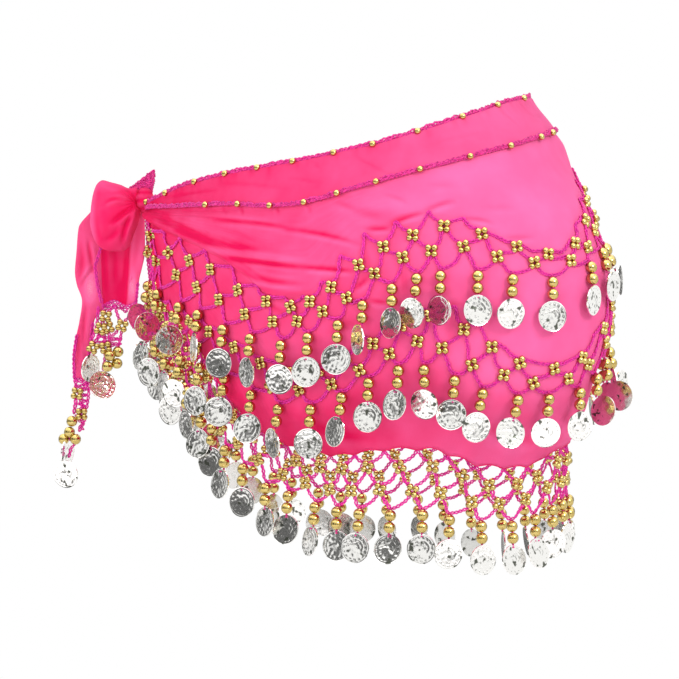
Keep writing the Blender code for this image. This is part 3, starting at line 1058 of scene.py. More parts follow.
HEM_CELLS = Cells(
    "hem", "hem_foot",
    table(CELL, [
        (8.5, 0.2, 11.5, 0.5, 8, 0.72, 28), (14.5, 0.2, 17, 0.5, 14, 0.72, 29),
        (20.5, 0.2, 23, 0.49, 20, 0.7, 16), (26.5, 0.19, 29, 0.48, 26, 0.69, 28),
        (33, 0.18, 35, 0.47, 32, 0.67, 1), (38.5, 0.18, 40, 0.5, 37.5, 0.67, 20),
        (43, 0.18, 44, 0.58, 41, 0.71, 23), (47.5, 0.18, 49, 0.55, 45, 0.83, -1),
        (53.5, 0.2, 55, 0.58, 50.5, 0.84, 16), (60, 0.22, 62, 0.67, 57, 0.96, -10),
        (66.5, 0.24, 69, 0.66, 64, 0.94, 7), (73.5, 0.25, 76.5, 0.69, 72.5, 0.98, -28),
        (80, 0.24, 83, 0.69, 79, 1, 1), (87.5, 0.26, 91, 0.67, 85.5, 1, 0),
        (96.5, 0.28, 100, 0.69, 94, 1, -11), (106, 0.25, 108.5, 0.67, 103, 0.99, -15),
        (116, 0.26, 119.5, 0.68, 111.5, 0.98, 19), (126, 0.33, 129.5, 0.69, 122.5, 1, 17),
        (137.5, 0.31, 140.5, 0.65, 134, 1.02, 7), (146, 0.26, 150, 0.6, 144.5, 1.01, 1),
        (155.5, 0.2, 159, 0.63, 152.5, 0.98, -24), (164, 0.24, 168, 0.66, 160, 0.96, -6),
        (171.5, 0.25, 180, 0.67, 173, 1, 13)
    ]),
    end_share=0.45, seed=37, tied="hem"
)


# ---- The cloth round the hips ----


@dataclass
class HipCloth:
    """The chiffon round the hips: one open-topped tube from the waist to the hem."""

    columns: int = 420
    rows: int = 105
    middle: float = 1.0 * MM
    wall: float = 0.35 * MM
    start: float = 4.6
    roll_height: float = 2.0 * MM
    pucker: float = 0.45 * MM
    hem_rise: float = 1.9 * MM
    hem_roll: float = 0.5 * MM
    hem_sides: int = 6
    slack_turn: float = 166.0
    slack_depth: float = 4.6 * MM
    creases: tuple[Crease, ...] = creases_from(PANEL_CREASES) + creases_from(BACK_CREASES)

    def detail(self, turn: Array, height: Array) -> Array:
        """Work out how far folds, creases and seams move the cloth outwards.

        It adds up the creases, a soft roll that hangs over the upper seam with a tuck under it,
        and puckers along both seams: a cosine that dips where each cell is sewn on.

        Args:
            turn: Degrees round from the knot.
            height: Heights, shaped as turn.

        Returns:
            Offsets from the smooth cloth.
        """
        moved = creased(self.creases, FORM.way_round(turn), height) + self.fan(turn, height)
        above = height - FORM.line("tied", turn)
        near = 1.0 - fade(from_knot(turn), 62.0, 84.0)
        moved = moved + near * self.roll_height * hump(above - 3.4 * MM, 3.2 * MM)
        moved = moved - (0.35 + 0.75 * near) * MM * hump(above + 1.2 * MM, 1.7 * MM)
        for cells in (UPPER_CELLS, MIDDLE_CELLS):
            beside = height - FORM.line(cells.tied, turn)
            pulled = np.cos(2 * np.pi * cells.phase(turn)) - 0.6
            moved = moved + self.pucker * pulled * hump(beside, 3.2 * MM)
        under = height - FORM.line("fold", turn) + 17 * MM
        slack = hump(from_knot(turn) - self.slack_turn, 24.0) * hump(under, 13 * MM)
        moved = moved - self.slack_depth * slack
        hang = FORM.line("hem", turn) - height
        drawn_in = np.cos(2 * np.pi * HEM_CELLS.phase(turn))
        return moved + self.pucker * drawn_in * hump(hang, 5.0 * MM)

    def fan(self, turn: Array, height: Array) -> Array:
        """Work out the fine pleats that fan out from the knot between the fold and the net.

        They follow lines of equal share between the two, and each is a narrow trough: a sine's
        size, turned over and sharpened. Their depth wavers along them and dies away from the knot.

        Args:
            turn: Degrees round from the knot.
            height: Heights, shaped as turn.

        Returns:
            Offsets, never outwards.
        """
        way = FORM.way_round(turn)
        fold, sewn = FORM.line("fold", turn), FORM.line("upper_sewn", turn)
        share = (fold - height) / (fold - sewn)
        drift = 0.35 * np.sin(way / (47 * MM)) + 0.2 * np.sin(way / (19 * MM) + 1.0)
        strength = self.pleated(turn, height) * fade(share, 0.0, 0.12)
        strength = strength * (1 - fade(share, 0.85, 1.0))
        moved = 0.0 * share
        for count, start, depth in ((3.3, 0.1, 0.35), (5.1, 0.45, 0.18)):
            wave = 1.0 - np.abs(np.sin(np.pi * (count * share + start + drift * count / 4)))
            waver = 0.55 + 0.45 * np.sin(way / (23 * MM) * (1 + start) + 5 * start)
            moved = moved - depth * MM * waver * wave**3
        return moved * strength

    def pleated(self, turn: Array, height: Array) -> Array:
        """Say how finely pleated the cloth is: most near the knot, above the net, then less."""
        above = fade(height - FORM.line("tied", turn), -1 * MM, 2 * MM)
        return (1.0 - fade(from_knot(turn), 48.0, 108.0)) * (0.25 + 0.75 * above)

    def hem_edge(self, turn: Array) -> Array:
        """Give the hem's height: it rises in a shallow arch between the places the net pulls."""
        arch = np.abs(np.cos(np.pi * HEM_CELLS.phase(turn))) ** 1.3
        return FORM.line("hem", turn) + self.hem_rise * arch

    def gathered(self, turn: Array, height: Array) -> Array:
        """Say how deep the pink is: more near the knot, for gathered layers and painted shade;
        painted shade in crease troughs and painted highlight on their ridges; a little more under
        the upper net away from the knot and less there near it; and painted shade below the middle
        net.

        Args:
            turn: Degrees round from the knot.
            height: Heights, shaped as turn.

        Returns:
            Shares, 1 where the pink is deepest.
        """
        near = from_knot(turn)
        places = [5, 14, 22, 45, 65, 100, 130, 180]
        # Deeper towards the knot, partly for gathered layers and partly as painted shade.
        knot = np.interp(near, places, [1, 0.97, 0.84, 0.70, 0.56, 0.27, 0.08, 0.05])
        # Painted shade in the creases' troughs, and painted highlight on their ridges.
        folded = creased(self.creases, FORM.way_round(turn), height)
        trough = np.clip(-folded / (1.5 * MM), -0.4, 1.0)
        # A little deeper below the upper net's seam away from the knot, paler there near the knot.
        below = fade(FORM.line("tied", turn) - height, -0.5 * MM, 1.5 * MM)
        nets = below * (0.07 - (1.0 - fade(near, 55.0, 82.0)) * 0.19)
        # Painted shade below the middle net's foot.
        low = 0.22 * fade(FORM.line("middle_foot", turn) - height, -12 * MM, 12 * MM)
        # Deeper again on the knot's side, partly for gathered layers and partly as painted shade.
        left = 0.10 * (1.0 - fade(near, 60.0, 120.0))
        return np.clip(knot + 0.5 * trough + nets + low + left + 0.03, 0.0, 1.0)

    def build(self) -> Object:
        """Make the tube, from inside the waist fold down to the hem.

        Returns:
            The finished piece.
        """
        turn = way_of_turns(self.start, self.columns)
        top, fold = FORM.line("top", turn), FORM.line("fold", turn)
        under = top + (fold - top) * np.linspace(0.0, 1.0, 7)
        # More than half of the rows lie above the nets, where the fine creases are.
        share = np.interp(np.linspace(0.0, 1.0, self.rows), [0.0, 0.6, 1.0], [0.0, 0.45, 1.0])
        below = fold + (self.hem_edge(turn) - fold) * share
        height = np.hstack([under, below[:, 1:]])
        turn = np.broadcast_to(turn, height.shape)
        hidden = fade(height - FORM.line("fold", turn), -1.5 * MM, 1.5 * MM)
        moved = self.detail(turn, height)
        moved = moved * (1 - hidden) + np.minimum(moved, 0.0) * hidden * 0.3
        points = FORM.cloth(turn, height, self.middle + moved)
        chart = np.stack([FORM.way_round(turn), height], -1)
        parts = MeshParts()
        lines = FORM.line("fold", turn), FORM.line("tied", turn)
        values = {
            # This value carries painted shade and painted highlight as well as the depth of the
            # layers.
            "gathered": self.gathered(turn, height),
            "pleated": self.pleated(turn, height) * (1.0 - hidden),
            "fan_along": FORM.way_round(turn) / (55 * MM),
            "fan_across": 11.0 * (lines[0] - height) / (lines[0] - lines[1])
        }
        parts.add(points, (grid_faces(*height.shape),), chart, **values)
        piece = give_wall(parts.make("hip_cloth", CLOTH), self.wall)
        return settle(piece, Slot.CHIFFON, "panel")

    def build_hem(self) -> Object:
        """Make the hem's narrow roll: a circle carried along the hem's edge.

        Returns:
            The finished piece.
        """
        turn = way_of_turns(self.start, self.columns * 3)
        round_way = circle(self.hem_sides)[None]
        edge = self.hem_edge(turn) + 0.2 * MM
        moved = self.detail(turn, edge)
        out = self.middle + moved + self.hem_roll * np.cos(round_way)
        points = FORM.cloth(turn, edge, out)
        points[..., 2] += self.hem_roll * np.sin(round_way)
        parts = MeshParts()
        faces = grid_faces(*points.shape[:2], ring=True)[:, ::-1]
        first = np.arange(self.hem_sides)
        caps = np.stack([first[::-1], first + (len(turn) - 1) * self.hem_sides])
        parts.add(points, (faces, caps), gathered=0.85)
        return settle(parts.make("hem_roll", CLOTH), Slot.CHIFFON)


@dataclass
class WaistFold:
    """The band turned down at the waist, rolled over the cloth's top edge."""

    cloth: HipCloth
    columns: int = 400
    rows: int = 16
    out: float = 2.45 * MM
    inner: float = 1.1 * MM
    wall: float = 0.32 * MM
    creases: tuple[Crease, ...] = creases_from(WAIST_CREASES)

    def detail(self, turn: Array, height: Array) -> Array:
        """Work out how far the band stands off its smooth place.

        It adds the creases to fine gathers under the top edge, which are two sine waves of
        different lengths, and a lower edge that lifts and dips slowly.

        Args:
            turn: Degrees round from the knot.
            height: Heights, shaped as turn.

        Returns:
            Offsets outwards.
        """
        way = FORM.way_round(turn)
        top = FORM.line("top", turn) - height
        fine = np.sin(way / (1.9 * MM) + 2 * np.sin(way / (17 * MM)))
        fine = fine + 0.8 * np.sin(way / (1.17 * MM) + 1.0)
        gathers = 0.22 * MM * fine * hump(top - 2 * MM, 4.5 * MM)
        edge = height - FORM.line("fold", turn)
        lift = (0.5 + 0.5 * np.sin(way / (9 * MM))) * 0.6 * MM * hump(edge, 4 * MM)
        return 0.75 * creased(self.creases, way, height) + gathers + lift

    def lowered(self, turn: Array) -> Array:
        """Give how far the pull of the tie draws the top edge down."""
        return -MM * np.interp(from_knot(turn), [5, 27, 45, 90, 180], [1.8, 3.0, 1.9, 1.5, 1.5])

    def build(self) -> Object:
        """Make the band: half a circle over the top edge, then down to its lower edge.

        Returns:
            The finished piece.
        """
        turn = way_of_turns(self.cloth.start, self.columns)
        top, fold = FORM.line("top", turn) + self.lowered(turn), FORM.line("fold", turn)
        radius = (self.out - self.inner) / 2
        over = np.radians(np.linspace(180.0, 15.0, 6))[None]
        round_out = self.inner + radius + radius * np.cos(over)
        round_height = top - radius * 1.2 + radius * 1.4 * np.sin(over)
        part = np.linspace(0.0, 1.0, self.rows)[None]
        straight = top - radius * 0.9 + (fold - top + radius * 0.9) * part
        inside = top - 3 * MM
        height = np.hstack([inside, round_height, straight])
        out = np.hstack(
            [
                np.full(turn.shape, self.inner), np.broadcast_to(round_out, round_height.shape),
                np.full(straight.shape, self.out)
            ]
        )
        turn = np.broadcast_to(turn, height.shape)
        loose = fade(out, self.inner + radius, self.out)
        moved = np.maximum(self.detail(turn, height), -0.75 * MM) * loose
        points = FORM.cloth(turn, height, out + moved)
        chart = np.stack([FORM.way_round(turn), height], -1)
        # The band is deeper pink near the knot, partly for gathered layers and partly as painted
        # shade, and painted shade deepens it where it sinks.
        places, depths = [5, 20, 45, 70, 92, 125, 180], [1, 0.97, 0.86, 0.74, 0.62, 0.38, 0.26]
        knot = np.interp(from_knot(turn), places, depths)
        shade = np.clip(knot + 0.25 * np.clip(-moved / MM, 0, 1) * loose, 0, 1)
        parts = MeshParts()
        parts.add(points, (grid_faces(*height.shape),), chart, gathered=shade)
        piece = give_wall(parts.make("waist_fold_band", CLOTH), self.wall)
        return settle(piece, Slot.CHIFFON, "waist_fold")


# ---- Crochet and beads ----


def chain_stitch(length: float, half_width: float, radius: float) -> Shape:
    """Shape one chain stitch: two strands that part and meet, each a bent spindle.

    A strand's middle line bows sideways as a sine, and its radius swells as a sine. It has three
    rings of five points, and a point at each end.

    Args:
        length: The stitch's length along the chain.
        half_width: How far each strand bows to its side.
        radius: The strand's radius at its middle.

    Returns:
        The stitch, along the first axis and facing the third.
    """
    sides = 5
    part = np.array([0.12, 0.5, 0.88])[:, None]
    angle = circle(sides)[None]
    swell = radius * (0.6 + 0.4 * np.sin(np.pi * part))
    points, faces = [], []
    for side in (-1.0, 1.0):
        bow = side * half_width * np.sin(np.pi * part) ** 0.8
        lift = side * 0.35 * radius * np.cos(np.pi * part)
        along = (part - 0.5) * length + 0 * angle
        ring = np.stack([along, bow + swell * np.cos(angle), lift + swell * np.sin(angle)], -1)
        ends = np.array([[-0.5 * length, 0.0, 0.0], [0.5 * length, 0.0, 0.0]])
        faces += [face[:, ::-1] + sum(map(len, points)) for face in ball_faces(3, sides)]
        points.append(np.concatenate([ring.reshape(-1, 3), ends]))
    return Shape(np.concatenate(points), tuple(faces))


def bead(radius: float, sides: int, rings: int, hole: float = 0.0) -> Shape:
    """Shape a bead: a sphere of rings round the second axis, closed at both poles.

    Args:
        radius: Its radius.
        sides: How many points a ring has.
        rings: How many rings lie between the poles.
        hole: How far each pole is sunk, as a share of the radius.

    Returns:
        The bead.
    """
    tilt = np.pi * (np.arange(rings) + 1.0) / (rings + 1.0)
    angle = circle(sides)
    around = np.stack([np.cos(angle), 0 * angle, -np.sin(angle)], -1)
    ring = np.sin(tilt)[:, None, None] * around[None]
    ring = ring + np.cos(tilt)[:, None, None] * np.array([0.0, 1.0, 0.0])
    poles = np.array([[0.0, 1.0 - hole, 0.0], [0.0, hole - 1.0, 0.0]])
    points = np.concatenate([ring.reshape(-1, 3), poles]) * radius
    return Shape(points, ball_faces(rings, sides))


def coin(radius: float, thickness: float, struck: float, sides: int = 48) -> Shape:
    """Shape a thin stamped coin with a made-up pattern of swirls.

    The face is flat and high, less what is struck into it: a ring of dots, which is a cosine round
    the face; a bent crescent in the middle with a curl and a few short strokes; an arc, and a line
    inside the rim. The disc is slightly dished.

    Args:
        radius: The coin's radius.
        thickness: The bare disc's thickness.
        struck: How deep the relief is.
        sides: Points round each ring, three for each dot.

    Returns:
        The coin, in the plane of the first two axes and facing the third, with its relief.
    """
    steps = (0.12, 0.22, 0.31, 0.40, 0.48, 0.56, 0.63, 0.69, 0.75, 0.80, 0.85, 0.905, 0.94, 1.0)
    share = np.array(steps)[:, None]
    angle = circle(sides)[None]
    level = np.stack([np.cos(angle), np.sin(angle)], -1)
    dots = hump(share - 0.80, 0.055) * fade(np.cos(sides / 3 * angle), -0.1, 0.7)
    bent = share - 0.40 - 0.07 * np.sin(2.0 * angle + 0.7) - 0.03 * np.sin(7.0 * angle)
    crescent = hump(bent, 0.055) * fade(np.sin(angle + 0.4), -0.45, 0.2)
    curl = hump(share - 0.20 - 0.05 * np.sin(angle), 0.06) * fade(np.cos(angle - 0.9), -0.2, 0.5)
    strokes = hump(share - 0.53, 0.06) * fade(np.sin(9.0 * angle), 0.2, 0.8)
    emblem = np.maximum(np.maximum(crescent, curl), strokes * fade(-np.cos(angle), -0.2, 0.4))
    arcs = hump(share - 0.67, 0.03) * fade(np.sin(angle + 0.9), -0.3, 0.3)
    edge = hump(share - 0.93, 0.022)
    raised = 1.0 - np.clip(0.95 * dots + 0.85 * emblem + 0.7 * arcs + 0.6 * edge, 0.0, 1.0)
    dish = 0.35 * MM * share**2
    front = 0.5 * thickness + struck * raised + dish
    back = -0.5 * thickness + dish[-1] + 0 * angle
    face = np.concatenate([radius * share[..., None] * level, front[..., None]], -1)
    rear = np.concatenate([radius * level[0], back.reshape(-1, 1)], -1)
    middle = np.array([[0.0, 0.0, 0.5 * thickness + struck], [0.0, 0.0, -0.5 * thickness]])
    count = len(share)
    points = np.concatenate([face.reshape(-1, 3), rear, middle])
    relief = np.concatenate([raised.ravel(), np.full(sides, 0.45), [1.0, 0.45]])
    return Shape(points, ball_faces(count + 1, sides), relief)


STITCH = chain_stitch(length=4.1 * MM, half_width=0.76 * MM, radius=0.60 * MM)
STITCH_PITCH = 2.9 * MM
# The size of the finer chains, as a share of the nets'.
FINE = 0.8
FLOWER_BEAD = bead(2.1 * MM, sides=9, rings=5)
BIG_BEAD = bead(3.65 * MM, sides=14, rings=7, hole=0.03)
SEED_BEAD = bead(2.1 * MM, sides=10, rings=5)
COIN = coin(9.2 * MM, thickness=0.5 * MM, struck=0.28 * MM)
# The angle in degrees past which a coin's edges stay crisp.
COIN_EDGE = 50.0
THREAD_BIT = bead(0.5 * MM, sides=5, rings=3)
FLOWER_CORNERS = np.array([(-1, -1, 0), (-1, 1, 0), (1, -1, 0), (1, 1, 0)]) * 1.9 * MM


def stamp_flowers(parts: MeshParts, middles: Array, frames: Array, sizes: Array) -> None:
    """Stamp a flower of four beads at each place.

    Args:
        parts: The mesh that the beads are gathered in.
        middles: The flowers' middles.
        frames: Their rotation matrices.
        sizes: The beads' sizes, one row for each of the four corners.
    """
    for corner, size in zip(FLOWER_CORNERS, sizes):
        parts.stamp(FLOWER_BEAD, middles + frames @ corner, frames, size)


def stitches_along(parts: MeshParts, path: Array, outward: Array, size: float = 1.0) -> None:
    """Lay chain stitches end to end along one path.

    Args:
        parts: The mesh that they are gathered in.
        path: Points along the path.
        outward: The direction that the chain faces at each of them.
        size: How big the stitches are, as a share of the net's.
    """
    step = np.linalg.norm(np.diff(path, axis=0), axis=1)
    run = np.concatenate([[0.0], np.cumsum(step)])
    count = max(1, int(round(run[-1] / STITCH_PITCH / size)))
    at = (np.arange(count) + 0.5) / count * run[-1]
    nearby = 0.3 * MM
    places, ahead, behind, facing = (
        np.stack([np.interp(where, run, values[:, k]) for k in range(3)], -1)
        for where, values in ((at, path), (at + nearby, path), (at - nearby, path), (at, outward))
    )
    frames = turned_frames(ahead - behind, facing)
    roll = 0.5 * np.sin(at / (2.1 * MM) + 700.0 * path[0].sum())
    stretch = run[-1] / count / STITCH_PITCH
    parts.stamp(STITCH, places, frames @ spun(roll, 0), stretch)


# Links that hang from the knot beside the net: out and height of both ends, and how far forward.
KNOT_LINKS = table("from_out from_height to_out to_height forward", [
    (3.2, -42.5, 2.6, -56.5, -10.5), (2.6, -56.5, 0.2, -70.5, -11), (0.2, -70.5, -3.2, -89, -10.5),
    (1.8, -44.5, -2, -59.5, -11.5), (-2, -59.5, 0.8, -74.5, -11), (0.6, -49.5, 3.1, -62.5, -12),
    (3.1, -62.5, 1.3, -79, -12), (-1, -63, -5.2, -79, -11.5), (-5.2, -79, -1.9, -92, -10.5),
    (2.6, -69.5, -3.4, -76, -12), (1.3, -79, -1, -90, -12)
])


@dataclass
class Net:
    """One tier: a net of crochet chain with flowers of four beads, and a dangle in each point."""

    name: str
    cells: Cells
    cloth: HipCloth
    chain_out: float
    dangle_out: float
    free: bool
    loose: dict[str, Array] = field(default_factory=dict)
    sag: float = 0.4 * MM
    slack: float = 0.17
    waver: float = 0.4 * MM
    bead_drops: tuple[float, float] = (4.2 * MM, 11.4 * MM)
    coin_drop: float = 24.6 * MM
    hole_rise: float = 7.7 * MM
    longest: float = 35.0 * MM
    sway: float = 0.9 * MM
    swing: float = 4.0
    lean: float = 0.0

    def place(self, turn: Array, height: Array, out: float) -> Array:
        """Find places on the cloth's creased face, or hanging under the hem.

        Args:
            turn: Degrees round from the knot.
            height: Heights, shaped as turn.
            out: How far they stand off the cloth's inner face.

        Returns:
            The places.
        """
        edge = np.maximum(height, FORM.line("hem", turn)) if self.free else height
        moved = self.cloth.detail(turn, edge)
        if self.free:
            slack = FORM.line("hem", turn) - height
            way = FORM.way_round(turn)
            sway = self.sway * np.sin(way / (21 * MM) + slack / (9 * MM)) * fade(slack, 0, 8 * MM)
            moved = moved * (1.0 - fade(slack, 0.0, 12 * MM)) + sway
        return FORM.cloth(turn, height, out + moved)

    def link(self, parts: MeshParts, start: Array, end: Array) -> None:
        """Crochet one link between two places, each a turn and a height.

        The path falls steeply at first and then levels out, as a sine, and wavers a little.

        Args:
            parts: The mesh that the stitches are gathered in.
            start: Turn and height of one end.
            end: Turn and height of the other.
        """
        part = np.linspace(0.0, 1.0, 11)
        turn = start[0] + (end[0] - start[0]) * part
        sag = self.sag + self.slack * max(0.0, start[1] - end[1])
        height = start[1] + (end[1] - start[1]) * part - sag * np.sin(np.pi * part)
        turn = turn + self.degrees(turn, height, self.waver * np.sin(7 * part + 900 * start[0]))
        path = self.place(turn, height, self.chain_out)
        stitches_along(parts, path, FORM.surface(turn, height)[1])

    def degrees(self, turn: Array, height: Array, length: float) -> Array:
        """Turn a short length round the hips into degrees there.

        Args:
            turn: Degrees round from the knot.
            height: Heights, shaped as turn.
            length: The length.

        Returns:
            Degrees, shaped as turn.
        """
        ahead = FORM.surface(turn + 0.5, height)[0]
        behind = FORM.surface(turn - 0.5, height)[0]
        return length / np.linalg.norm(ahead - behind, axis=-1)

    def corners(self, flowers: Array, side: int, up: int) -> Array:
        """Give the corner of each flower where a link is tied, as turn and height."""
        sideways = self.degrees(flowers[:, 0], flowers[:, 1], 1.5 * MM) * side
        return flowers + np.stack([sideways, 0 * sideways + up * 2.9 * MM], -1)

    def build_chain(self) -> Object:
        """Make every link of the net.

        Returns:
            The finished piece.
        """
        cells = self.cells
        upper, joints, low = cells.upper(), cells.joints(), cells.dangles()
        seam_turns = cells.seam_turns()
        tied = FORM.line(cells.tied, seam_turns)
        sewn = self.cloth.hem_edge(seam_turns) if self.free else tied
        seam = np.stack([seam_turns, sewn], -1)
        parts = MeshParts()
        part = np.linspace(0.0, 1.0, 9)
        for row in zip(*self.loose.values()):
            start, end = np.array(row[:4]).reshape(2, 2, 1) * MM
            out, height = start + (end - start) * part
            path = KNOT.place(np.stack([out, np.full(9, row[4] * MM), height], -1))
            stitches_along(parts, path, KNOT.facing(9))
        for side in (-1, 1):
            here = slice(None, -1) if side < 0 else slice(1, None)
            ties = (
                (seam[here], self.corners(upper, side, 1)),
                (self.corners(upper, side, -1), self.corners(joints[here], -side, 1)),
                (self.corners(joints[here], -side, -1), low)
            )
            for starts, ends in ties:
                for start, end in zip(starts, ends):
                    self.link(parts, start, end)
        return settle(parts.make(self.name + "_chain", THREAD), Slot.CROCHET, self.name + "_net")

    def build_flowers(self) -> Object:
        """Make the flowers of four beads at the upper and lower joints.

        Returns:
            The finished piece.
        """
        cells = self.cells
        turn, height = np.concatenate([cells.upper(), cells.joints()]).T
        chance = np.random.default_rng(cells.seed + 2)
        middle = self.place(turn, height, self.chain_out + 0.5 * MM)
        outward = FORM.surface(turn, height)[1]
        # Beside the knot the net hangs free of the body and faces forward.
        free_turn = 62.0 * (1.0 - fade(from_knot(turn), 6.0, 44.0))
        facing = spun(np.radians(free_turn * np.sign(180.0 - turn)), 2)
        frames = facing @ upright_frames(outward)
        frames = frames @ spun(chance.normal(0.0, 0.24, len(turn)), 2)
        frames = frames @ spun(chance.normal(0.0, 0.14, len(turn)), 0)
        parts = MeshParts()
        stamp_flowers(parts, middle, frames, chance.uniform(0.96, 1.04, (4, len(turn))))
        return settle(parts.make(self.name + "_flowers", GOLD), Slot.BEADS)

    def build_dangles(self) -> list[Object]:
        """Hang two beads and a coin from each of the net's points.

        Returns:
            The beads, the coins and the threads that they hang on.
        """
        cells = self.cells
        turn, start = cells.dangles().T
        count = len(turn)
        chance = np.random.default_rng(cells.seed + 3)
        node = self.place(turn, start, self.chain_out)
        reach = FORM.plumb(turn, start, start - self.longest, self.dangle_out)
        outward = FORM.surface(turn, start)[1]
        along = np.cross(UP, outward)
        down = unit(reach - FORM.cloth(turn, start, self.dangle_out))
        leaning = self.lean * fade(turn, 95.0, 125.0) * (1.0 - fade(turn, 175.0, 190.0))
        leaning = leaning * (1.0 + 0.5 * fade(turn, 143.0, 156.0))
        swing = np.radians(chance.uniform(-self.swing, self.swing, count) + leaning)[:, None]
        down = unit(down + along * np.tan(swing))
        offset = self.dangle_out - self.chain_out
        half = cells.rows["yaw"]
        yaw = np.radians(np.concatenate([half, chance.uniform(-38, 38, len(half))]))
        beads, coins, threads = MeshParts(), MeshParts(), MeshParts()
        frames = upright_frames(outward)
        upright = np.stack([unit(np.cross(-down, outward)), -down, outward], -1)
        for drop in self.bead_drops:
            lean = min(1.0, 0.35 + drop / (15 * MM))
            places = node + down * drop + outward * (offset * lean)
            tilt = spun(chance.normal(0.0, 0.1, count), 2)
            beads.stamp(BIG_BEAD, places, upright @ tilt, chance.uniform(0.97, 1.03, count))
        close = np.diff(FORM.way_round(turn), prepend=-1.0) < 18.5 * MM
        close = (close | np.roll(close, -1)) & (np.arange(count) % 2 == 1)
        # A coin that is turned stands off the cloth, and every second one of a close pair does.
        room = 0.0 if self.free else 6.0 * MM
        push = offset + room * np.abs(np.sin(yaw)) + 2.4 * MM * close
        places = node + down * self.coin_drop + outward * push[:, None]
        pitch = chance.normal(0.0, 0.10, count)
        turned = spun(yaw, 2) @ frames @ spun(pitch, 0) @ spun(swing[:, 0], 2)
        coins.stamp(COIN, places, turned)
        for part in (0.2, 7.8, 15.4):
            places = node + down * part * MM + outward * (offset * min(1.0, 0.3 + part / 12.0))
            threads.stamp(THREAD_BIT, places, upright, 1.6)
        hole = node + down * (self.coin_drop - self.hole_rise) + outward * push[:, None]
        threads.stamp(THREAD_BIT, hole + turned[..., 2] * 0.55 * MM, turned, 1.2)
        return [
            settle(beads.make(self.name + "_beads", GOLD), Slot.BEADS),
            settle(
                coins.make(self.name + "_coins", SILVER, COIN_EDGE), Slot.COINS,
                self.name + "_fringe"
            ),
            settle(threads.make(self.name + "_threads", EDGE_THREAD), Slot.CROCHET)
        ]


@dataclass
class Edging:
    """A crocheted edge with seed beads spaced along it."""

    name: str
    band: WaistFold
    line: str
    shift: float
    out: float
    bead_turns: tuple[float, ...]
    loop_height: float
    loop_pitch: float = 3.5 * MM
    columns: int = 1500
    start: float = 5.5
    seed: int = 5
    size: float = 0.9

    def level(self, turn: Array) -> Array:
        """Give the height of the edging at each turn."""
        lowered = self.band.lowered(turn) if self.line == "top" else 0.0
        return FORM.line(self.line, turn) + lowered + self.shift

    def build(self) -> Object:
        """Make the chain and its picots, which are arches of stitches beside it.

        Returns:
            The finished piece.
        """
        turn = way_of_turns(self.start, self.columns)[:, 0]
        height = self.level(turn)
        path = FORM.cloth(turn, height, self.out)
        outward = FORM.surface(turn, height)[1]
        parts = MeshParts()
        stitches_along(parts, path, outward, self.size)
        chance = np.random.default_rng(self.seed)
        run = FORM.way_round(turn)
        pitch = self.loop_pitch
        count = int((run[-1] - run[0]) / pitch)
        starts = run[0] + (np.arange(count) + 0.5) * pitch + chance.uniform(-0.8, 0.8, count) * MM
        for place, rise in zip(starts, chance.uniform(0.55, 1.25, count)):
            part = np.linspace(0.0, 1.0, 7)
            way = place + (part - 0.5) * pitch * 0.95
            arch_turn = np.interp(way, run, turn)
            arch = self.loop_height * rise * np.sin(np.pi * part)
            arch_height = self.level(arch_turn) + arch
            loop = FORM.cloth(arch_turn, arch_height, self.out + 0.2 * MM)
            facing = FORM.surface(arch_turn, arch_height)[1]
            stitches_along(parts, loop, facing, self.size)
        return settle(parts.make(self.name, EDGE_THREAD), Slot.CROCHET, self.name)

    def build_beads(self) -> Object:
        """Sew on the seed beads.

        Returns:
            The finished piece.
        """
        turn = mirrored(self.bead_turns, 1.0, self.seed + 1)
        height = self.level(turn)
        places = FORM.cloth(turn, height, self.out + 1.3 * MM)
        outward = FORM.surface(turn, height)[1]
        parts = MeshParts()
        parts.stamp(SEED_BEAD, places, upright_frames(outward))
        return settle(parts.make(self.name + "_beads", GOLD), Slot.BEADS)


# ---- The knot, its bow loop and the two hanging ends ----

# The loop's outline as seen from in front: how far out from the body, and the height.
BOW_OUTLINE = table("out height", [
    (9.2, -22), (13.8, -22.6), (19.7, -20.3), (26.1, -18.6), (30.9, -17.4), (34.5, -19.6),
    (37.4, -26.8), (38.8, -36.2), (39.3, -44.5), (37.1, -54.5), (32.6, -61.2), (25.5, -63.7),
    (18.9, -63.7), (13.8, -60.3), (10.5, -52), (7.6, -44.5), (6.3, -38.6), (6.9, -32.6),
    (7.9, -26.8)
], MM)

HANGING = "height inner outer forward"
FRONT_TAIL = table(HANGING, [
    (-36, 4, 12, -4), (-43, 4.2, 20, -7), (-55, 4.1, 30, -9), (-66, 4.5, 33, -10),
    (-73.5, 6, 32.8, -10.5), (-82, 8, 32.5, -10.5), (-90, 8.8, 32.2, -10.5),
    (-97, 9.6, 31.6, -10.5)
], MM)
REAR_TAIL = table(HANGING, [
    (-36, 6, 38.5, -10.5), (-48, 7, 48, -15), (-64, 9, 49.5, -16), (-77, 11, 50.5, -16.5),
    (-84, 15, 49.5, -16.5), (-96, 27, 45.8, -16.5), (-109, 38, 47.5, -16.5),
    (-121, 39.5, 50, -16.5), (-134, 41, 51.5, -16.5), (-147, 41.5, 51, -16.5)
], MM)
FRONT_CREASES = table(CREASE, [
    (24, -60, 23.5, -72, 25, -86, 0.35, 2.6), (30, -62, 30, -76, 29, -92, 0.6, 2),
    (19.5, -82, 20, -90, 19, -96, 0.3, 1.8), (8.5, -48, 9.5, -62, 11.5, -74, 0.5, 1.8)
])
REAR_CREASES = table(CREASE, [
    (47, -54, 45.5, -70, 47.5, -84, 0.8, 2.2), (41.5, -56, 40.5, -64, 38.5, -76, 1.1, 1.6),
    (46, -86, 41.5, -78, 37, -73, 1.2, 1.3), (43, -98, 44.5, -112, 45.5, -130, 0.7, 1.8),
    (48, -112, 48, -126, 49, -140, 0.6, 1.6)
])


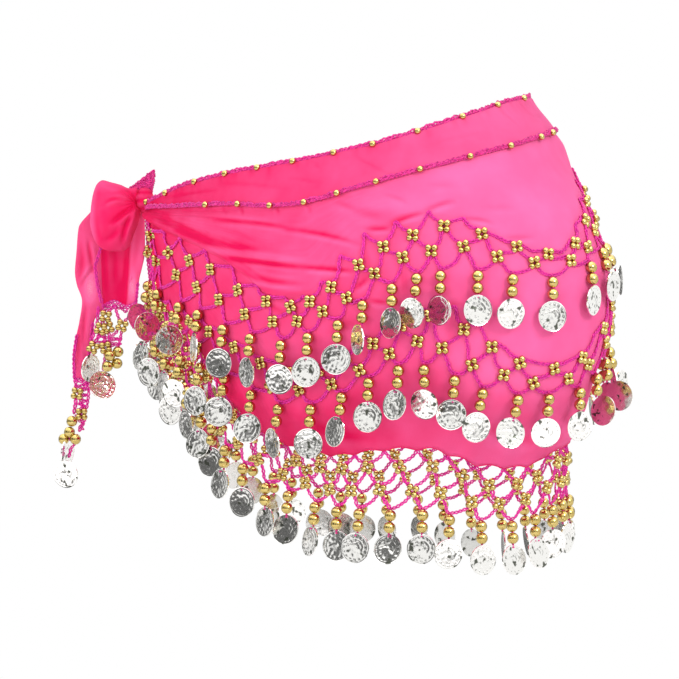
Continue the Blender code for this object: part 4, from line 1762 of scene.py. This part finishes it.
@dataclass(frozen=True)
class KnotFrame:
    """The frame beside the knot: out from the body, forward along the scarf, and the height."""

    level: float = -34.0 * MM

    def axes(self) -> tuple[Array, Array]:
        """Find the frame.

        Returns:
            Its place at height 0, and a matrix whose columns are its three directions.
        """
        place, out = FORM.surface(np.array(0.0), np.array(self.level))
        return place * (1.0 - UP), np.stack([out, np.cross(UP, out), UP], -1)

    def place(self, local: Array) -> Array:
        """Move points from the knot's frame to the scarf's."""
        origin, axes = self.axes()
        return local @ axes.T + origin

    def upright(self) -> Array:
        """Give a rotation that faces forward: first axis inwards, second up, third forward."""
        return self.axes()[1] @ np.array([[-1.0, 0.0, 0.0], [0.0, 0.0, 1.0], [0.0, 1.0, 0.0]])

    def facing(self, count: int) -> Array:
        """Repeat the frame's forward direction, once for each place of a path."""
        return np.tile(self.axes()[1][:, 1], (count, 1))


KNOT = KnotFrame()


@dataclass
class BowLoop:
    """The puffed loop beside the knot: a front and a back layer, pinched together at the knot."""

    pinch: tuple[float, float] = (9.4 * MM, -32.2 * MM)
    front: float = 12.6 * MM
    rim: float = 3.2 * MM
    back: float = -5.2 * MM
    columns: int = 150
    front_rows: int = 44
    back_rows: int = 12
    creases: tuple[Crease, ...] = creases_from(
        table(CREASE + " ridge", [
            (10, -34.5, 16.5, -39.5, 24, -45.2, 2.6, 1.7, 0.8),
            (18.5, -30, 24.5, -30.5, 30, -33.5, 1.3, 1.3, 1.1),
            (10.5, -29.5, 17, -26.2, 25, -26.2, 1.2, 1.6, 0.55),
            (11.2, -37.5, 15, -47, 18.5, -59, 1.6, 1.8, 0.7),
            (34.5, -26, 35.5, -43, 32, -56, 0.9, 1.8, 0.55),
            (20.5, -49, 24, -54, 30, -56, 0.8, 2, 0.55),
            (11.5, -26, 19, -23.2, 29, -20.5, 0.9, 1.5, 0.55)
        ]),
        turns=False
    )

    def outline(self) -> Array:
        """Follow the outline with a smooth closed curve through its places.

        Returns:
            Out and height of each of its points.
        """
        count = len(BOW_OUTLINE["out"])
        places = np.arange(-3, count + 4, dtype=float)
        at = np.linspace(0.0, count, self.columns + 1)[:-1]
        wrapped = places.astype(int) % count
        columns = [smooth(places, values[wrapped], at) for values in BOW_OUTLINE.values()]
        return np.stack(columns, -1)

    def build(self) -> Object:
        """Make the two layers on rays from the pinch to the outline.

        Along a ray the front layer rises from the pinch, stays full and rolls over at the rim, as
        a rounded step. Narrow pleats, a sharpened cosine of the ray's number, spread out from the
        pinch and die away. The back layer is flatter.

        Returns:
            The finished piece.
        """
        pinch = np.array(self.pinch)
        rays = self.outline() - pinch
        number = circle(self.columns)[None]
        over = np.sin(np.linspace(0.0, np.pi / 2, self.front_rows + 1))[1:]
        under = np.linspace(1.0, 0.0, self.back_rows + 2)[1:-1]
        share = np.concatenate([over, under])[:, None]
        flat = pinch + share[..., None] * rays[None]
        away = np.linalg.norm(flat - pinch, axis=-1)
        rise = np.sqrt(np.clip(1.0 - share**3.2, 0.0, 1.0))
        dip = 4.6 * MM * np.exp(-((away / (6.5 * MM)) ** 2))
        narrow = np.clip(np.linalg.norm(rays, axis=-1) / (16 * MM), 0.0, 1.0)[None] ** 0.7
        full = self.rim + (self.front - self.rim) * rise * narrow
        pleat = (0.5 + 0.5 * np.cos(13 * number + 1.4 * np.sin(2 * number))) ** 2
        pleats = -0.75 * MM * pleat * np.exp(-away / (7.5 * MM)) * fade(away, 0.0, 2 * MM)
        soft = 0.7 * MM * np.sin(flat[..., 0] / (3.1 * MM) + flat[..., 1] / (5.3 * MM)) * rise
        folds = creased(self.creases, flat[..., 0], flat[..., 1]) * np.clip(2.2 * rise, 0.0, 1.0)
        forward = full - dip * rise + pleats + soft + folds
        behind = self.rim + (self.back - self.rim) * rise
        in_front = np.arange(len(share))[:, None] < self.front_rows
        forward = np.where(in_front, forward, behind + 0.5 * pleats)
        local = np.stack([flat[..., 0], forward, flat[..., 1]], -1)
        ends = [(pinch[0], forward[row].mean(), pinch[1]) for row in (0, -1)]
        # Painted shade in the folds' and pleats' troughs, painted highlight on their ridges;
        # deeper near the pinch for gathered layers and painted shade; paler towards the outer edge
        # and the top.
        trough = np.clip(-(folds + pleats) / (2.4 * MM), -0.3, 1.0)
        gathered = 0.84 + 0.30 * trough + 0.25 * np.exp(-away / (9 * MM))
        gathered = gathered - 0.42 * fade(flat[..., 0], 0.0325, 0.0385)
        gathered = gathered - 0.28 * fade(flat[..., 1], -0.027, -0.019)
        shade = np.concatenate([np.clip(gathered, 0.0, 1.0).ravel(), [1.0, 1.0]])
        parts = MeshParts()
        points = np.concatenate([local.reshape(-1, 3), ends])
        faces = ball_faces(len(share), self.columns)
        parts.add(KNOT.place(points), faces, points[:, [0, 2]], gathered=shade)
        piece = parts.make("bow_loop_cloth", CLOTH)
        return settle(piece, Slot.CHIFFON, "bow_loop")


@dataclass
class Knot:
    """The knot: cloth wrapped tightly round, with its folds running round it."""

    out: float = 4.0 * MM
    height: float = -30.4 * MM
    half: tuple[float, float, float] = (6.6 * MM, 9.6 * MM, 8.4 * MM)
    rings: int = 40
    sides: int = 56

    def build(self) -> Object:
        """Make an egg-shaped knot whose surface is pleated: ridges wind slowly round it.

        Returns:
            The finished piece.
        """
        tilt = np.pi * np.linspace(0.0, 1.0, self.rings + 2)[1:-1, None]
        spin = circle(self.sides)[None]
        wound = np.sin(tilt) ** 0.8
        ridge = np.abs(np.cos(4.5 * tilt + 0.5 * np.sin(spin)))
        pleat = 0.10 * (ridge - 0.6) * wound
        size = 1.0 + pleat
        local = np.stack(
            [
                self.out + self.half[0] * size * np.sin(tilt) * np.cos(spin),
                self.half[1] * size * np.sin(tilt) * np.sin(spin),
                self.height + self.half[2] * size * np.cos(tilt)
            ],
            -1
        )
        top = [self.out, 0.0, self.height + self.half[2]]
        bottom = [self.out, 0.0, self.height - self.half[2]]
        points = np.concatenate([local.reshape(-1, 3), [top, bottom]])
        # Painted shade in the pleats' hollows and painted highlight on their ridges.
        deep = np.concatenate([np.clip(0.9 - 3.5 * pleat, 0.0, 1.0).ravel(), [0.8, 0.8]])
        parts = MeshParts()
        faces = ball_faces(self.rings, self.sides)
        parts.add(KNOT.place(points), faces, points[:, [0, 2]], gathered=deep)
        return settle(parts.make("knot_cloth", CLOTH), Slot.CHIFFON, "knot")


@dataclass
class HangingEnd:
    """One of the scarf's ends: a soft strip that hangs beside the knot."""

    name: str
    sections: dict[str, Array]
    colour: float
    creases: tuple[Crease, ...]
    turned_over: tuple[float, float]
    pale: tuple[tuple[float, float, float, float], ...]
    flat: tuple[float, float]
    foot_wave: float
    columns: int = 60
    rows: int = 110
    wall: float = 0.3 * MM

    def local(self, part: Array, height: Array) -> Array:
        """Find places on the strip, in the knot's frame.

        Broad sine folds drift sideways as they go down, creases lie on them, a band along the
        inner edge is turned over forwards, and both edges roll back.

        Args:
            part: 0 at the inner edge and 1 at the outer.
            height: Heights, shaped as part.

        Returns:
            Out, forward and height of each place.
        """
        places = self.sections["height"][::-1]
        inner, outer, forward = (
            smooth(places, self.sections[name][::-1], height)
            for name in ("inner", "outer", "forward")
        )
        drop = self.sections["height"][0] - height
        out = inner + (outer - inner) * part
        wave = 0.3 * MM * np.sin(out / (5.6 * MM) + drop / (21 * MM)) * fade(drop, 0.0, 0.02)
        wave = wave + creased(self.creases, out, height)
        wave = wave + 1.6 * MM * self.band(out, height) - 0.8 * MM * self.lip(out, height)
        roll = np.exp(-part / 0.05) + np.exp(-(1.0 - part) / 0.05)
        return np.stack([out, forward + wave - 1.0 * MM * roll, height], -1)

    def lower_edge(self, part: Array) -> Array:
        """Give the height of the strip's lower edge, which waves as a sine across it."""
        return self.sections["height"][-1] + self.foot_wave * np.sin(8.0 * part + 2.4)

    def band_edge(self, height: Array) -> Array:
        """Give how far out the turned-over band reaches: a straight line down the strip."""
        width, slope = self.turned_over
        return width + slope * (self.sections["height"][3] - height)

    def band(self, out: Array, height: Array) -> Array:
        """Say where the cloth is turned over along its inner edge: 1 there and 0 beyond it."""
        edge = self.band_edge(height) + 0.4 * MM * np.sin(height / (6 * MM))
        return 1.0 - fade(out, edge - 1.2 * MM, edge + 1.4 * MM)

    def lip(self, out: Array, height: Array) -> Array:
        """Say where the tuck beside the turned-over band is."""
        beside = out - self.band_edge(height) - 2.0 * MM
        return hump(beside, 1.8 * MM) * (self.turned_over[0] > 0.0)

    def build(self) -> Object:
        """Make the strip.

        Returns:
            The finished piece.
        """
        top = self.sections["height"][0]
        part = np.linspace(0.0, 1.0, self.columns)[:, None]
        height = top + (self.lower_edge(part) - top) * np.linspace(0.0, 1.0, self.rows)[None]
        local = self.local(part + 0 * height, height)
        # Painted shade in the creases' troughs and painted highlight on their ridges; paler on the
        # turned-over band; painted shade in the tuck beside it.
        folded = creased(self.creases, local[..., 0], height) / MM
        gathered = self.colour - 0.30 * folded - 0.42 * self.band(local[..., 0], height)
        gathered = gathered + 0.25 * self.lip(local[..., 0], height)
        cover = np.full(height.shape, 0.97)
        for out, level, reach, drop in self.pale:
            spot = hump(local[..., 0] - out, reach) * hump(height - level, drop)
            gathered = gathered - 1.5 * spot
            cover = cover - 0.78 * spot
        chart = np.stack([local[..., 0], height], -1)
        parts = MeshParts()
        faces = grid_faces(self.columns, self.rows)[:, ::-1]
        parts.add(
            KNOT.place(local), (faces,), chart, gathered=np.clip(gathered, 0.0, 1.0),
            cover=np.clip(cover, 0.2, 1.0)
        )
        piece = give_wall(parts.make(self.name + "_cloth", LOOSE_CLOTH), self.wall)
        return settle(piece, Slot.CHIFFON, self.name)

    def edge(self, part: float, top: float, bottom: float) -> tuple[Array, Array]:
        """Follow one of the strip's edges down, as places and the way they face.

        Args:
            part: 0 at the inner edge and 1 at the outer.
            top: Where it starts.
            bottom: Where it ends.

        Returns:
            The places and the directions.
        """
        height = np.linspace(top, bottom, 40)
        path = KNOT.place(self.local(np.full(40, part), height) + np.array([0, 0.6 * MM, 0]))
        return path, KNOT.facing(40)

    def foot(self, lower: float) -> tuple[Array, Array]:
        """Follow the strip's lower edge, or a row below it, as places and the way they face.

        Args:
            lower: How far below the edge the row is.

        Returns:
            The places and the directions.
        """
        part = np.linspace(0.0, 1.0, 60)
        height = self.lower_edge(part)
        ragged = 0.5 * MM * np.sin(31.0 * part + lower * 2000) * (lower > 0)
        below = np.stack([0 * part, 0 * part + 0.4 * MM, ragged - lower - 0.5 * MM], -1)
        path = KNOT.place(self.local(part, height) + below)
        return path, KNOT.facing(60)


Corners = tuple[tuple[float, float], tuple[float, float]]


def zigzag(top: Corners, bottom: Corners, rows: int, forward: float) -> Array:
    """Wind a path from side to side down a strip.

    Args:
        top: Out and height of the strip's two top corners.
        bottom: The same of its two bottom corners.
        rows: How many times the path crosses the strip.
        forward: How far forward the strip hangs.

    Returns:
        The path's points.
    """
    part = np.linspace(0.0, 1.0, rows + 1)[:, None]
    sides = [np.array(top[k]) + (np.array(bottom[k]) - np.array(top[k])) * part for k in (0, 1)]
    flat = np.where((np.arange(rows + 1) % 2 == 0)[:, None], *sides)
    return KNOT.place(np.stack([flat[:, 0], 0 * flat[:, 0] + forward, flat[:, 1]], -1))


@dataclass
class EndNet:
    """The bit of net, flowers, beads and coins on one hanging end, placed in the knot's frame."""

    name: str
    end: HangingEnd
    forward: float
    links: dict[str, Array]
    flowers: dict[str, Array]
    beads: dict[str, Array]
    coins: dict[str, Array]
    edges: tuple[tuple[float, float, float], ...]
    foot_rows: tuple[float, ...]
    strip_top: Corners
    strip_foot: Corners
    strip_rows: int
    seed: int
    link_sag: float = 0.5 * MM

    def spread(self, places: dict[str, Array], ahead: float) -> Array:
        """Find a table's places, from its outs, heights and depths in millimetres."""
        local = np.stack([places["out"], places["depth"], places["height"]], -1) * MM
        return KNOT.place(local + np.array([0.0, self.forward + ahead, 0.0]))

    def build(self) -> list[Object]:
        """Make the end's chains, flowers, beads and coins.

        Returns:
            The finished pieces.
        """
        chance = np.random.default_rng(self.seed)
        chain = MeshParts()
        for part, top, bottom in self.edges:
            stitches_along(chain, *self.end.edge(part, top, bottom))
        for lower in self.foot_rows:
            stitches_along(chain, *self.end.foot(lower), FINE)
        path = zigzag(self.strip_top, self.strip_foot, self.strip_rows, self.forward)
        stitches_along(chain, path, KNOT.facing(len(path)), FINE)
        part = np.linspace(0.0, 1.0, 9)
        for row in zip(*self.links.values()):
            start, end = np.array(row[:4]).reshape(2, 2, 1) * MM
            out, height = start + (end - start) * part
            height = height - 4 * self.link_sag * part * (1 - part)
            depth = self.forward + row[4] * MM * np.sin(np.pi * part)
            path = KNOT.place(np.stack([out, depth, height], -1))
            stitches_along(chain, path, KNOT.facing(9))
        frames = KNOT.upright()
        flowers = MeshParts()
        middle = self.spread(self.flowers, 0.6 * MM)
        turned = frames @ spun(chance.normal(0.0, 0.3, len(middle)), 2)
        stamp_flowers(flowers, middle, turned, np.ones(4))
        beads = MeshParts()
        places = self.spread(self.beads, 1.0 * MM)
        beads.stamp(BIG_BEAD, places, np.repeat(frames[None], len(places), 0))
        coins = MeshParts()
        yaw, pitch = np.radians(self.coins["yaw"]), np.radians(self.coins["pitch"])
        turned = spun(yaw, 2) @ frames @ spun(pitch, 0)
        coins.stamp(COIN, self.spread(self.coins, 1.0 * MM), turned)
        return [
            settle(chain.make(self.name + "_chain", THREAD), Slot.CROCHET, self.name + "_net"),
            settle(flowers.make(self.name + "_flowers", GOLD), Slot.BEADS),
            settle(beads.make(self.name + "_beads", GOLD), Slot.BEADS),
            settle(
                coins.make(self.name + "_coins", SILVER, COIN_EDGE), Slot.COINS,
                self.name + "_fringe"
            )
        ]


@dataclass
class UpperTip:
    """The crocheted point that stands up behind the knot: rows of chain that narrow to its tip."""

    left: tuple[float, float] = (13.9 * MM, -23.4 * MM)
    right: tuple[float, float] = (-0.6 * MM, -25.6 * MM)
    apex: tuple[float, float] = (-1.9 * MM, -11.2 * MM)
    ahead: float = 0.6 * MM
    rows: int = 20

    def build(self) -> Object:
        """Wind close rows of chain up to the tip, then lay a chain up each side.

        Returns:
            The finished piece.
        """
        parts = MeshParts()
        close = zigzag((self.left, self.right), (self.apex, self.apex), self.rows, 0.0)
        corners = [(out, self.ahead, height) for out, height in (self.left, self.apex, self.right)]
        sides = KNOT.place(np.array(corners))
        for path, size in ((close, 1.0), (sides, FINE)):
            stitches_along(parts, path, KNOT.facing(len(path)), size)
        return settle(parts.make("upper_tip_crochet", EDGE_THREAD), Slot.CROCHET, "upper_tip")


# ---- The set: floor, lights and camera ----


@dataclass(frozen=True)
class Softbox:
    """A square soft light that looks at the scarf; metal may mirror it, or not."""

    name: str
    place: tuple[float, float, float]
    size: float
    power: float
    mirrored: bool = False

    def build(self, target: Vector) -> None:
        """Put the light in its place, turned to the target.

        Args:
            target: What the light looks at.
        """
        light = bpy.data.lights.new(self.name, "AREA")
        light.shape, light.size, light.energy = "SQUARE", self.size, self.power
        lamp = place_in_scene(self.name, light)
        lamp.location = self.place
        lamp.visible_glossy = self.mirrored
        lamp.rotation_euler = (target - Vector(self.place)).to_track_quat("-Z", "Y").to_euler()


@dataclass
class Studio:
    """A pale floor, soft lights and a long lens level with the hips."""

    distance: float = 2.4
    middle_right: float = -0.0127
    middle_height: float = -0.121
    frame_width: float = 0.43456
    sensor: float = 36.0
    floor_height: float = -0.75
    floor_radius: float = 3.0
    sky_light: float = 0.5

    def axes(self) -> tuple[Vector, Vector]:
        """Give the frame's right and the way to the camera, both level."""
        half = math.sqrt(0.5)
        return Vector((half, half, 0.0)), Vector((half, -half, 0.0))

    def place(self, right: float, towards: float, height: float) -> tuple[float, float, float]:
        """Find a place from how far right, towards the camera and up it is."""
        across, ahead = self.axes()
        return tuple(across * right + ahead * towards + Vector((0.0, 0.0, height)))

    def build_camera(self) -> None:
        """Place the camera; its lens frames the width that the scarf is seen in."""
        across, ahead = self.axes()
        data = bpy.data.cameras.new("camera")
        data.sensor_width = self.sensor
        data.lens = self.sensor * self.distance / self.frame_width
        camera = place_in_scene("camera", data)
        turned = Matrix((across, Vector((0.0, 0.0, 1.0)), ahead)).transposed().to_4x4()
        turned.translation = self.place(self.middle_right, self.distance, self.middle_height)
        camera.matrix_world = turned
        bpy.context.scene.camera = camera

    def build_floor(self) -> None:
        """Lay a round floor under the scarf: rings of points, closed in the middle."""
        rings, sides = 7, 64
        radius = np.linspace(0.0, self.floor_radius, rings + 1)[1:, None]
        angle = circle(sides)[None]
        disc = np.stack([radius * np.cos(angle), radius * np.sin(angle)], -1)
        points = np.concatenate([disc.reshape(-1, 2), [[0.0, 0.0]]])
        points = np.column_stack([points, np.full(len(points), self.floor_height)])
        between, ends = ball_faces(rings, sides)
        parts = MeshParts()
        parts.add(points, (between, ends[:sides]))
        parts.make("floor", PAPER)

    def build_lights(self) -> None:
        """Set a key light high on the right, fills on the left and low down, and one behind."""
        boxes = (
            Softbox("key", self.place(1.3, 1.6, 1.0), size=0.8, power=27.0, mirrored=True),
            Softbox("fill", self.place(-1.1, 1.8, 0.5), size=1.4, power=18.0),
            Softbox("low", self.place(0.2, 1.9, -0.6), size=1.0, power=7.0),
            Softbox("top", self.place(0.1, 0.2, 2.0), size=1.6, power=12.0, mirrored=True),
            Softbox("left_side", self.place(-1.9, 0.4, 0.2), size=1.0, power=13.0),
            Softbox("back", self.place(0.3, -1.9, 0.7), size=1.6, power=14.0)
        )
        for box in boxes:
            box.build(Vector((0.0, 0.0, -0.1)))

    def build_world(self) -> None:
        """Surround the set with white, dimmer where it only lights the scarf.

        What the metal mirrors is darker low down and in broad patches, as a real room is.
        """
        world = bpy.data.worlds.new("studio")
        bpy.context.scene.world = world
        world.use_nodes = True
        tree = world.node_tree
        tree.nodes.clear()
        seen = add_node(tree, "LightPath").outputs
        way = add_node(tree, "TexCoord").outputs["Generated"]
        patches = add_node(tree, "TexNoise", {"Vector": way, "Scale": 1.9, "Detail": 1.0})
        dim = {"From Min": 0.45, "From Max": 0.53, "To Min": 0.12, "To Max": 1.0}
        level = add_node(tree, "MapRange", {"Value": patches, **dim})
        # Metal mirrors a bright ceiling, and a bright wall on the right.
        sides = (
            ((0.0, 0.0, 1.0), 0.42, 0.52, 1.9), ((0.707, 0.707, 0.0), 0.62, 0.75, 1.0),
            ((0.0, 0.0, -1.0), 0.3, 1.0, 0.55)
        )
        for side, start, end, most in sides:
            toward = add_node(tree, "VectorMath", {0: way, 1: side}, operation="DOT_PRODUCT")
            edge = {"From Min": start, "From Max": end, "To Max": most}
            bright = add_node(tree, "MapRange", {"Value": toward.outputs["Value"], **edge})
            level = add_node(tree, "Math", {0: level, 1: bright}, operation="MAXIMUM")
        strength = {0: seen["Is Glossy Ray"], 2: self.sky_light, 3: level}
        strength = {0: seen["Is Camera Ray"], 2: add_node(tree, "Mix", strength), 3: 1.0}
        strength = add_node(tree, "Mix", strength)
        sky = add_node(tree, "Background", {"Color": (1.0, 1.0, 1.0, 1.0), "Strength": strength})
        add_node(tree, "OutputWorld", {"Surface": sky})

    def build(self) -> None:
        """Build the whole set."""
        bpy.context.scene.view_settings.view_transform = "Standard"
        self.build_camera()
        self.build_floor()
        self.build_lights()
        self.build_world()


# ---- Putting it together ----

FRONT_LINKS = table("from_out from_height to_out to_height depth", [
    (32.6, -60, 36.7, -73, 1.5), (36.7, -73, 35.2, -84.5, 1), (35.2, -84.5, 32.3, -97, 0),
    (9.6, -97.3, 12.5, -103.5, 0), (12.5, -103.5, 17.8, -109, 0), (24, -98.5, 20.5, -109, 0.6),
    (24, -98.5, 28.6, -103, 0), (31.5, -98, 31, -103, 0), (29, -108.8, 28.4, -110.6, 0),
    (31.2, -108.6, 32.8, -111.3, 0.5), (19.2, -115, 21.6, -125.5, 0), (22, -115.2, 26, -118.5, 0),
    (27.6, -116.3, 26.9, -127.5, 0), (33.6, -117.2, 37.2, -123.3, 0), (31, -117, 30, -123.2, 0),
    (34.5, -99.5, 35.5, -111.5, -0.5), (35.5, -111.5, 39.5, -122.5, -0.5),
    (29.8, -129.5, 31.5, -141, 0), (38, -129.5, 37.2, -131, 0)
])
FRONT_FLOWERS = table("out height depth", [
    (29.8, -105.9, 0), (33.1, -114.1, 1.5), (28.2, -113.3, 0), (19.2, -112, 0), (38, -126.3, 0.5),
    (29.8, -126.3, 1)
])
FRONT_BEADS = table("out height depth", [
    (27, -131.6, 1.5), (28.6, -138.6, 1), (21.8, -129, -1), (22.5, -136.6, -1.5)
])
FRONT_COINS = table("out height depth yaw pitch", [
    (40.2, -139.6, -2.5, 55, 8), (31.8, -150.8, 1.5, 24, -14)
])
REAR_LINKS = table("from_out from_height to_out to_height depth", [
    (41, -147, 44.5, -153, 0), (50, -147, 49.5, -153.5, 0), (41, -147, 41.5, -158, 0.4),
    (41.5, -158, 42.8, -166.2, 0), (46.8, -159.6, 44.6, -166, 0), (49.6, -159.6, 51, -169.5, 0),
    (43.7, -172.4, 47.6, -181, 0), (45, -172.4, 50, -170.5, -0.6), (52.6, -184.3, 54.5, -186.5, 0),
    (50, -188.5, 53, -192, 0.8), (53, -192, 54.4, -198, 0)
])
REAR_FLOWERS = table("out height depth", [(48.9, -156.4, 0.5), (46, -169.9, 0.5)])
REAR_BEADS = table("out height depth", [
    (52.2, -174.5, 1), (53.8, -181.6, 1), (49.8, -186.2, 2), (57.6, -186.2, -1)
])
REAR_COINS = table("out height depth yaw pitch", [
    (55.8, -194.5, -3.5, 68, 6), (56.2, -209, 0.5, -26, 10)
])


def build_ends() -> list[Object]:
    """Build the two hanging ends with their bits of net.

    Returns:
        The finished pieces.
    """
    # The front end's deep pink is partly painted shade from the bow loop above it.
    front = HangingEnd(
        "front_tail", FRONT_TAIL, colour=0.92, creases=creases_from(FRONT_CREASES, turns=False),
        turned_over=(13.7 * MM, 0.07), pale=((0.0125, -0.0870, 2.2 * MM, 7.5 * MM),),
        flat=(0.030, 0.062), foot_wave=1.7 * MM
    )
    rear = HangingEnd(
        "rear_tail", REAR_TAIL, colour=0.52, creases=creases_from(REAR_CREASES, turns=False),
        turned_over=(0.0, 0.0), pale=((0.0405, -0.0870, 3.6 * MM, 8.5 * MM),), flat=(0.034, 0.112),
        foot_wave=0.8 * MM
    )
    front_net = EndNet(
        "front_tail", front, -8.5 * MM, FRONT_LINKS, FRONT_FLOWERS, FRONT_BEADS, FRONT_COINS,
        edges=((0.02, -0.084, -0.097),), foot_rows=(0.0, 1.7 * MM, 3.3 * MM),
        strip_top=((0.0350, -0.1190), (0.0200, -0.1190)),
        strip_foot=((0.0335, -0.1265), (0.0195, -0.1255)), strip_rows=4, seed=61
    )
    rear_net = EndNet(
        "rear_tail", rear, -15.0 * MM, REAR_LINKS, REAR_FLOWERS, REAR_BEADS, REAR_COINS,
        edges=((0.04, -0.110, -0.146), (0.97, -0.118, -0.147)), foot_rows=(0.0,),
        strip_top=((0.0500, -0.1480), (0.0415, -0.1480)),
        strip_foot=((0.0470, -0.1800), (0.0445, -0.1800)), strip_rows=17, seed=67
    )
    return [front.build(), rear.build(), *front_net.build(), *rear_net.build()]


def main() -> None:
    """Build the scarf from the hips outwards, then its knot and ends, then the set round it."""
    logging.basicConfig(level=logging.INFO, format="%(message)s")
    cloth = HipCloth()
    band = WaistFold(cloth)
    pieces = [cloth.build(), cloth.build_hem(), band.build()]
    edgings = (
        Edging(
            "top_edging", band, "top", shift=0.7 * MM, out=2.0 * MM, loop_height=1.0 * MM,
            bead_turns=(7.5, 27, 41, 52, 62, 72, 83, 93.5, 106.5, 122, 138.5, 158)
        ),
        Edging(
            "fold_edging", band, "fold", shift=-0.3 * MM, out=3.2 * MM, loop_height=1.2 * MM,
            bead_turns=(46, 56.5, 65.5, 74.5, 83, 93, 104.5, 119, 133.5, 149, 159), seed=9
        )
    )
    for edging in edgings:
        pieces += [edging.build(), edging.build_beads()]
    sewn = {"chain_out": 2.1 * MM, "dangle_out": 5.4 * MM, "free": False}
    nets = (
        Net("upper", UPPER_CELLS, cloth, **sewn, loose=KNOT_LINKS, lean=-6.0),
        Net("middle", MIDDLE_CELLS, cloth, **sewn, lean=-14.0),
        Net("hem", HEM_CELLS, cloth, chain_out=0.9 * MM, dangle_out=2.8 * MM, free=True)
    )
    for net in nets:
        pieces += [net.build_chain(), net.build_flowers(), *net.build_dangles()]
    pieces += [Knot().build(), BowLoop().build(), UpperTip().build(), *build_ends()]
    for piece in pieces:
        log.info("%s: %d faces", piece.name, len(piece.data.polygons))
    Studio().build()


if __name__ == "__main__":
    main()
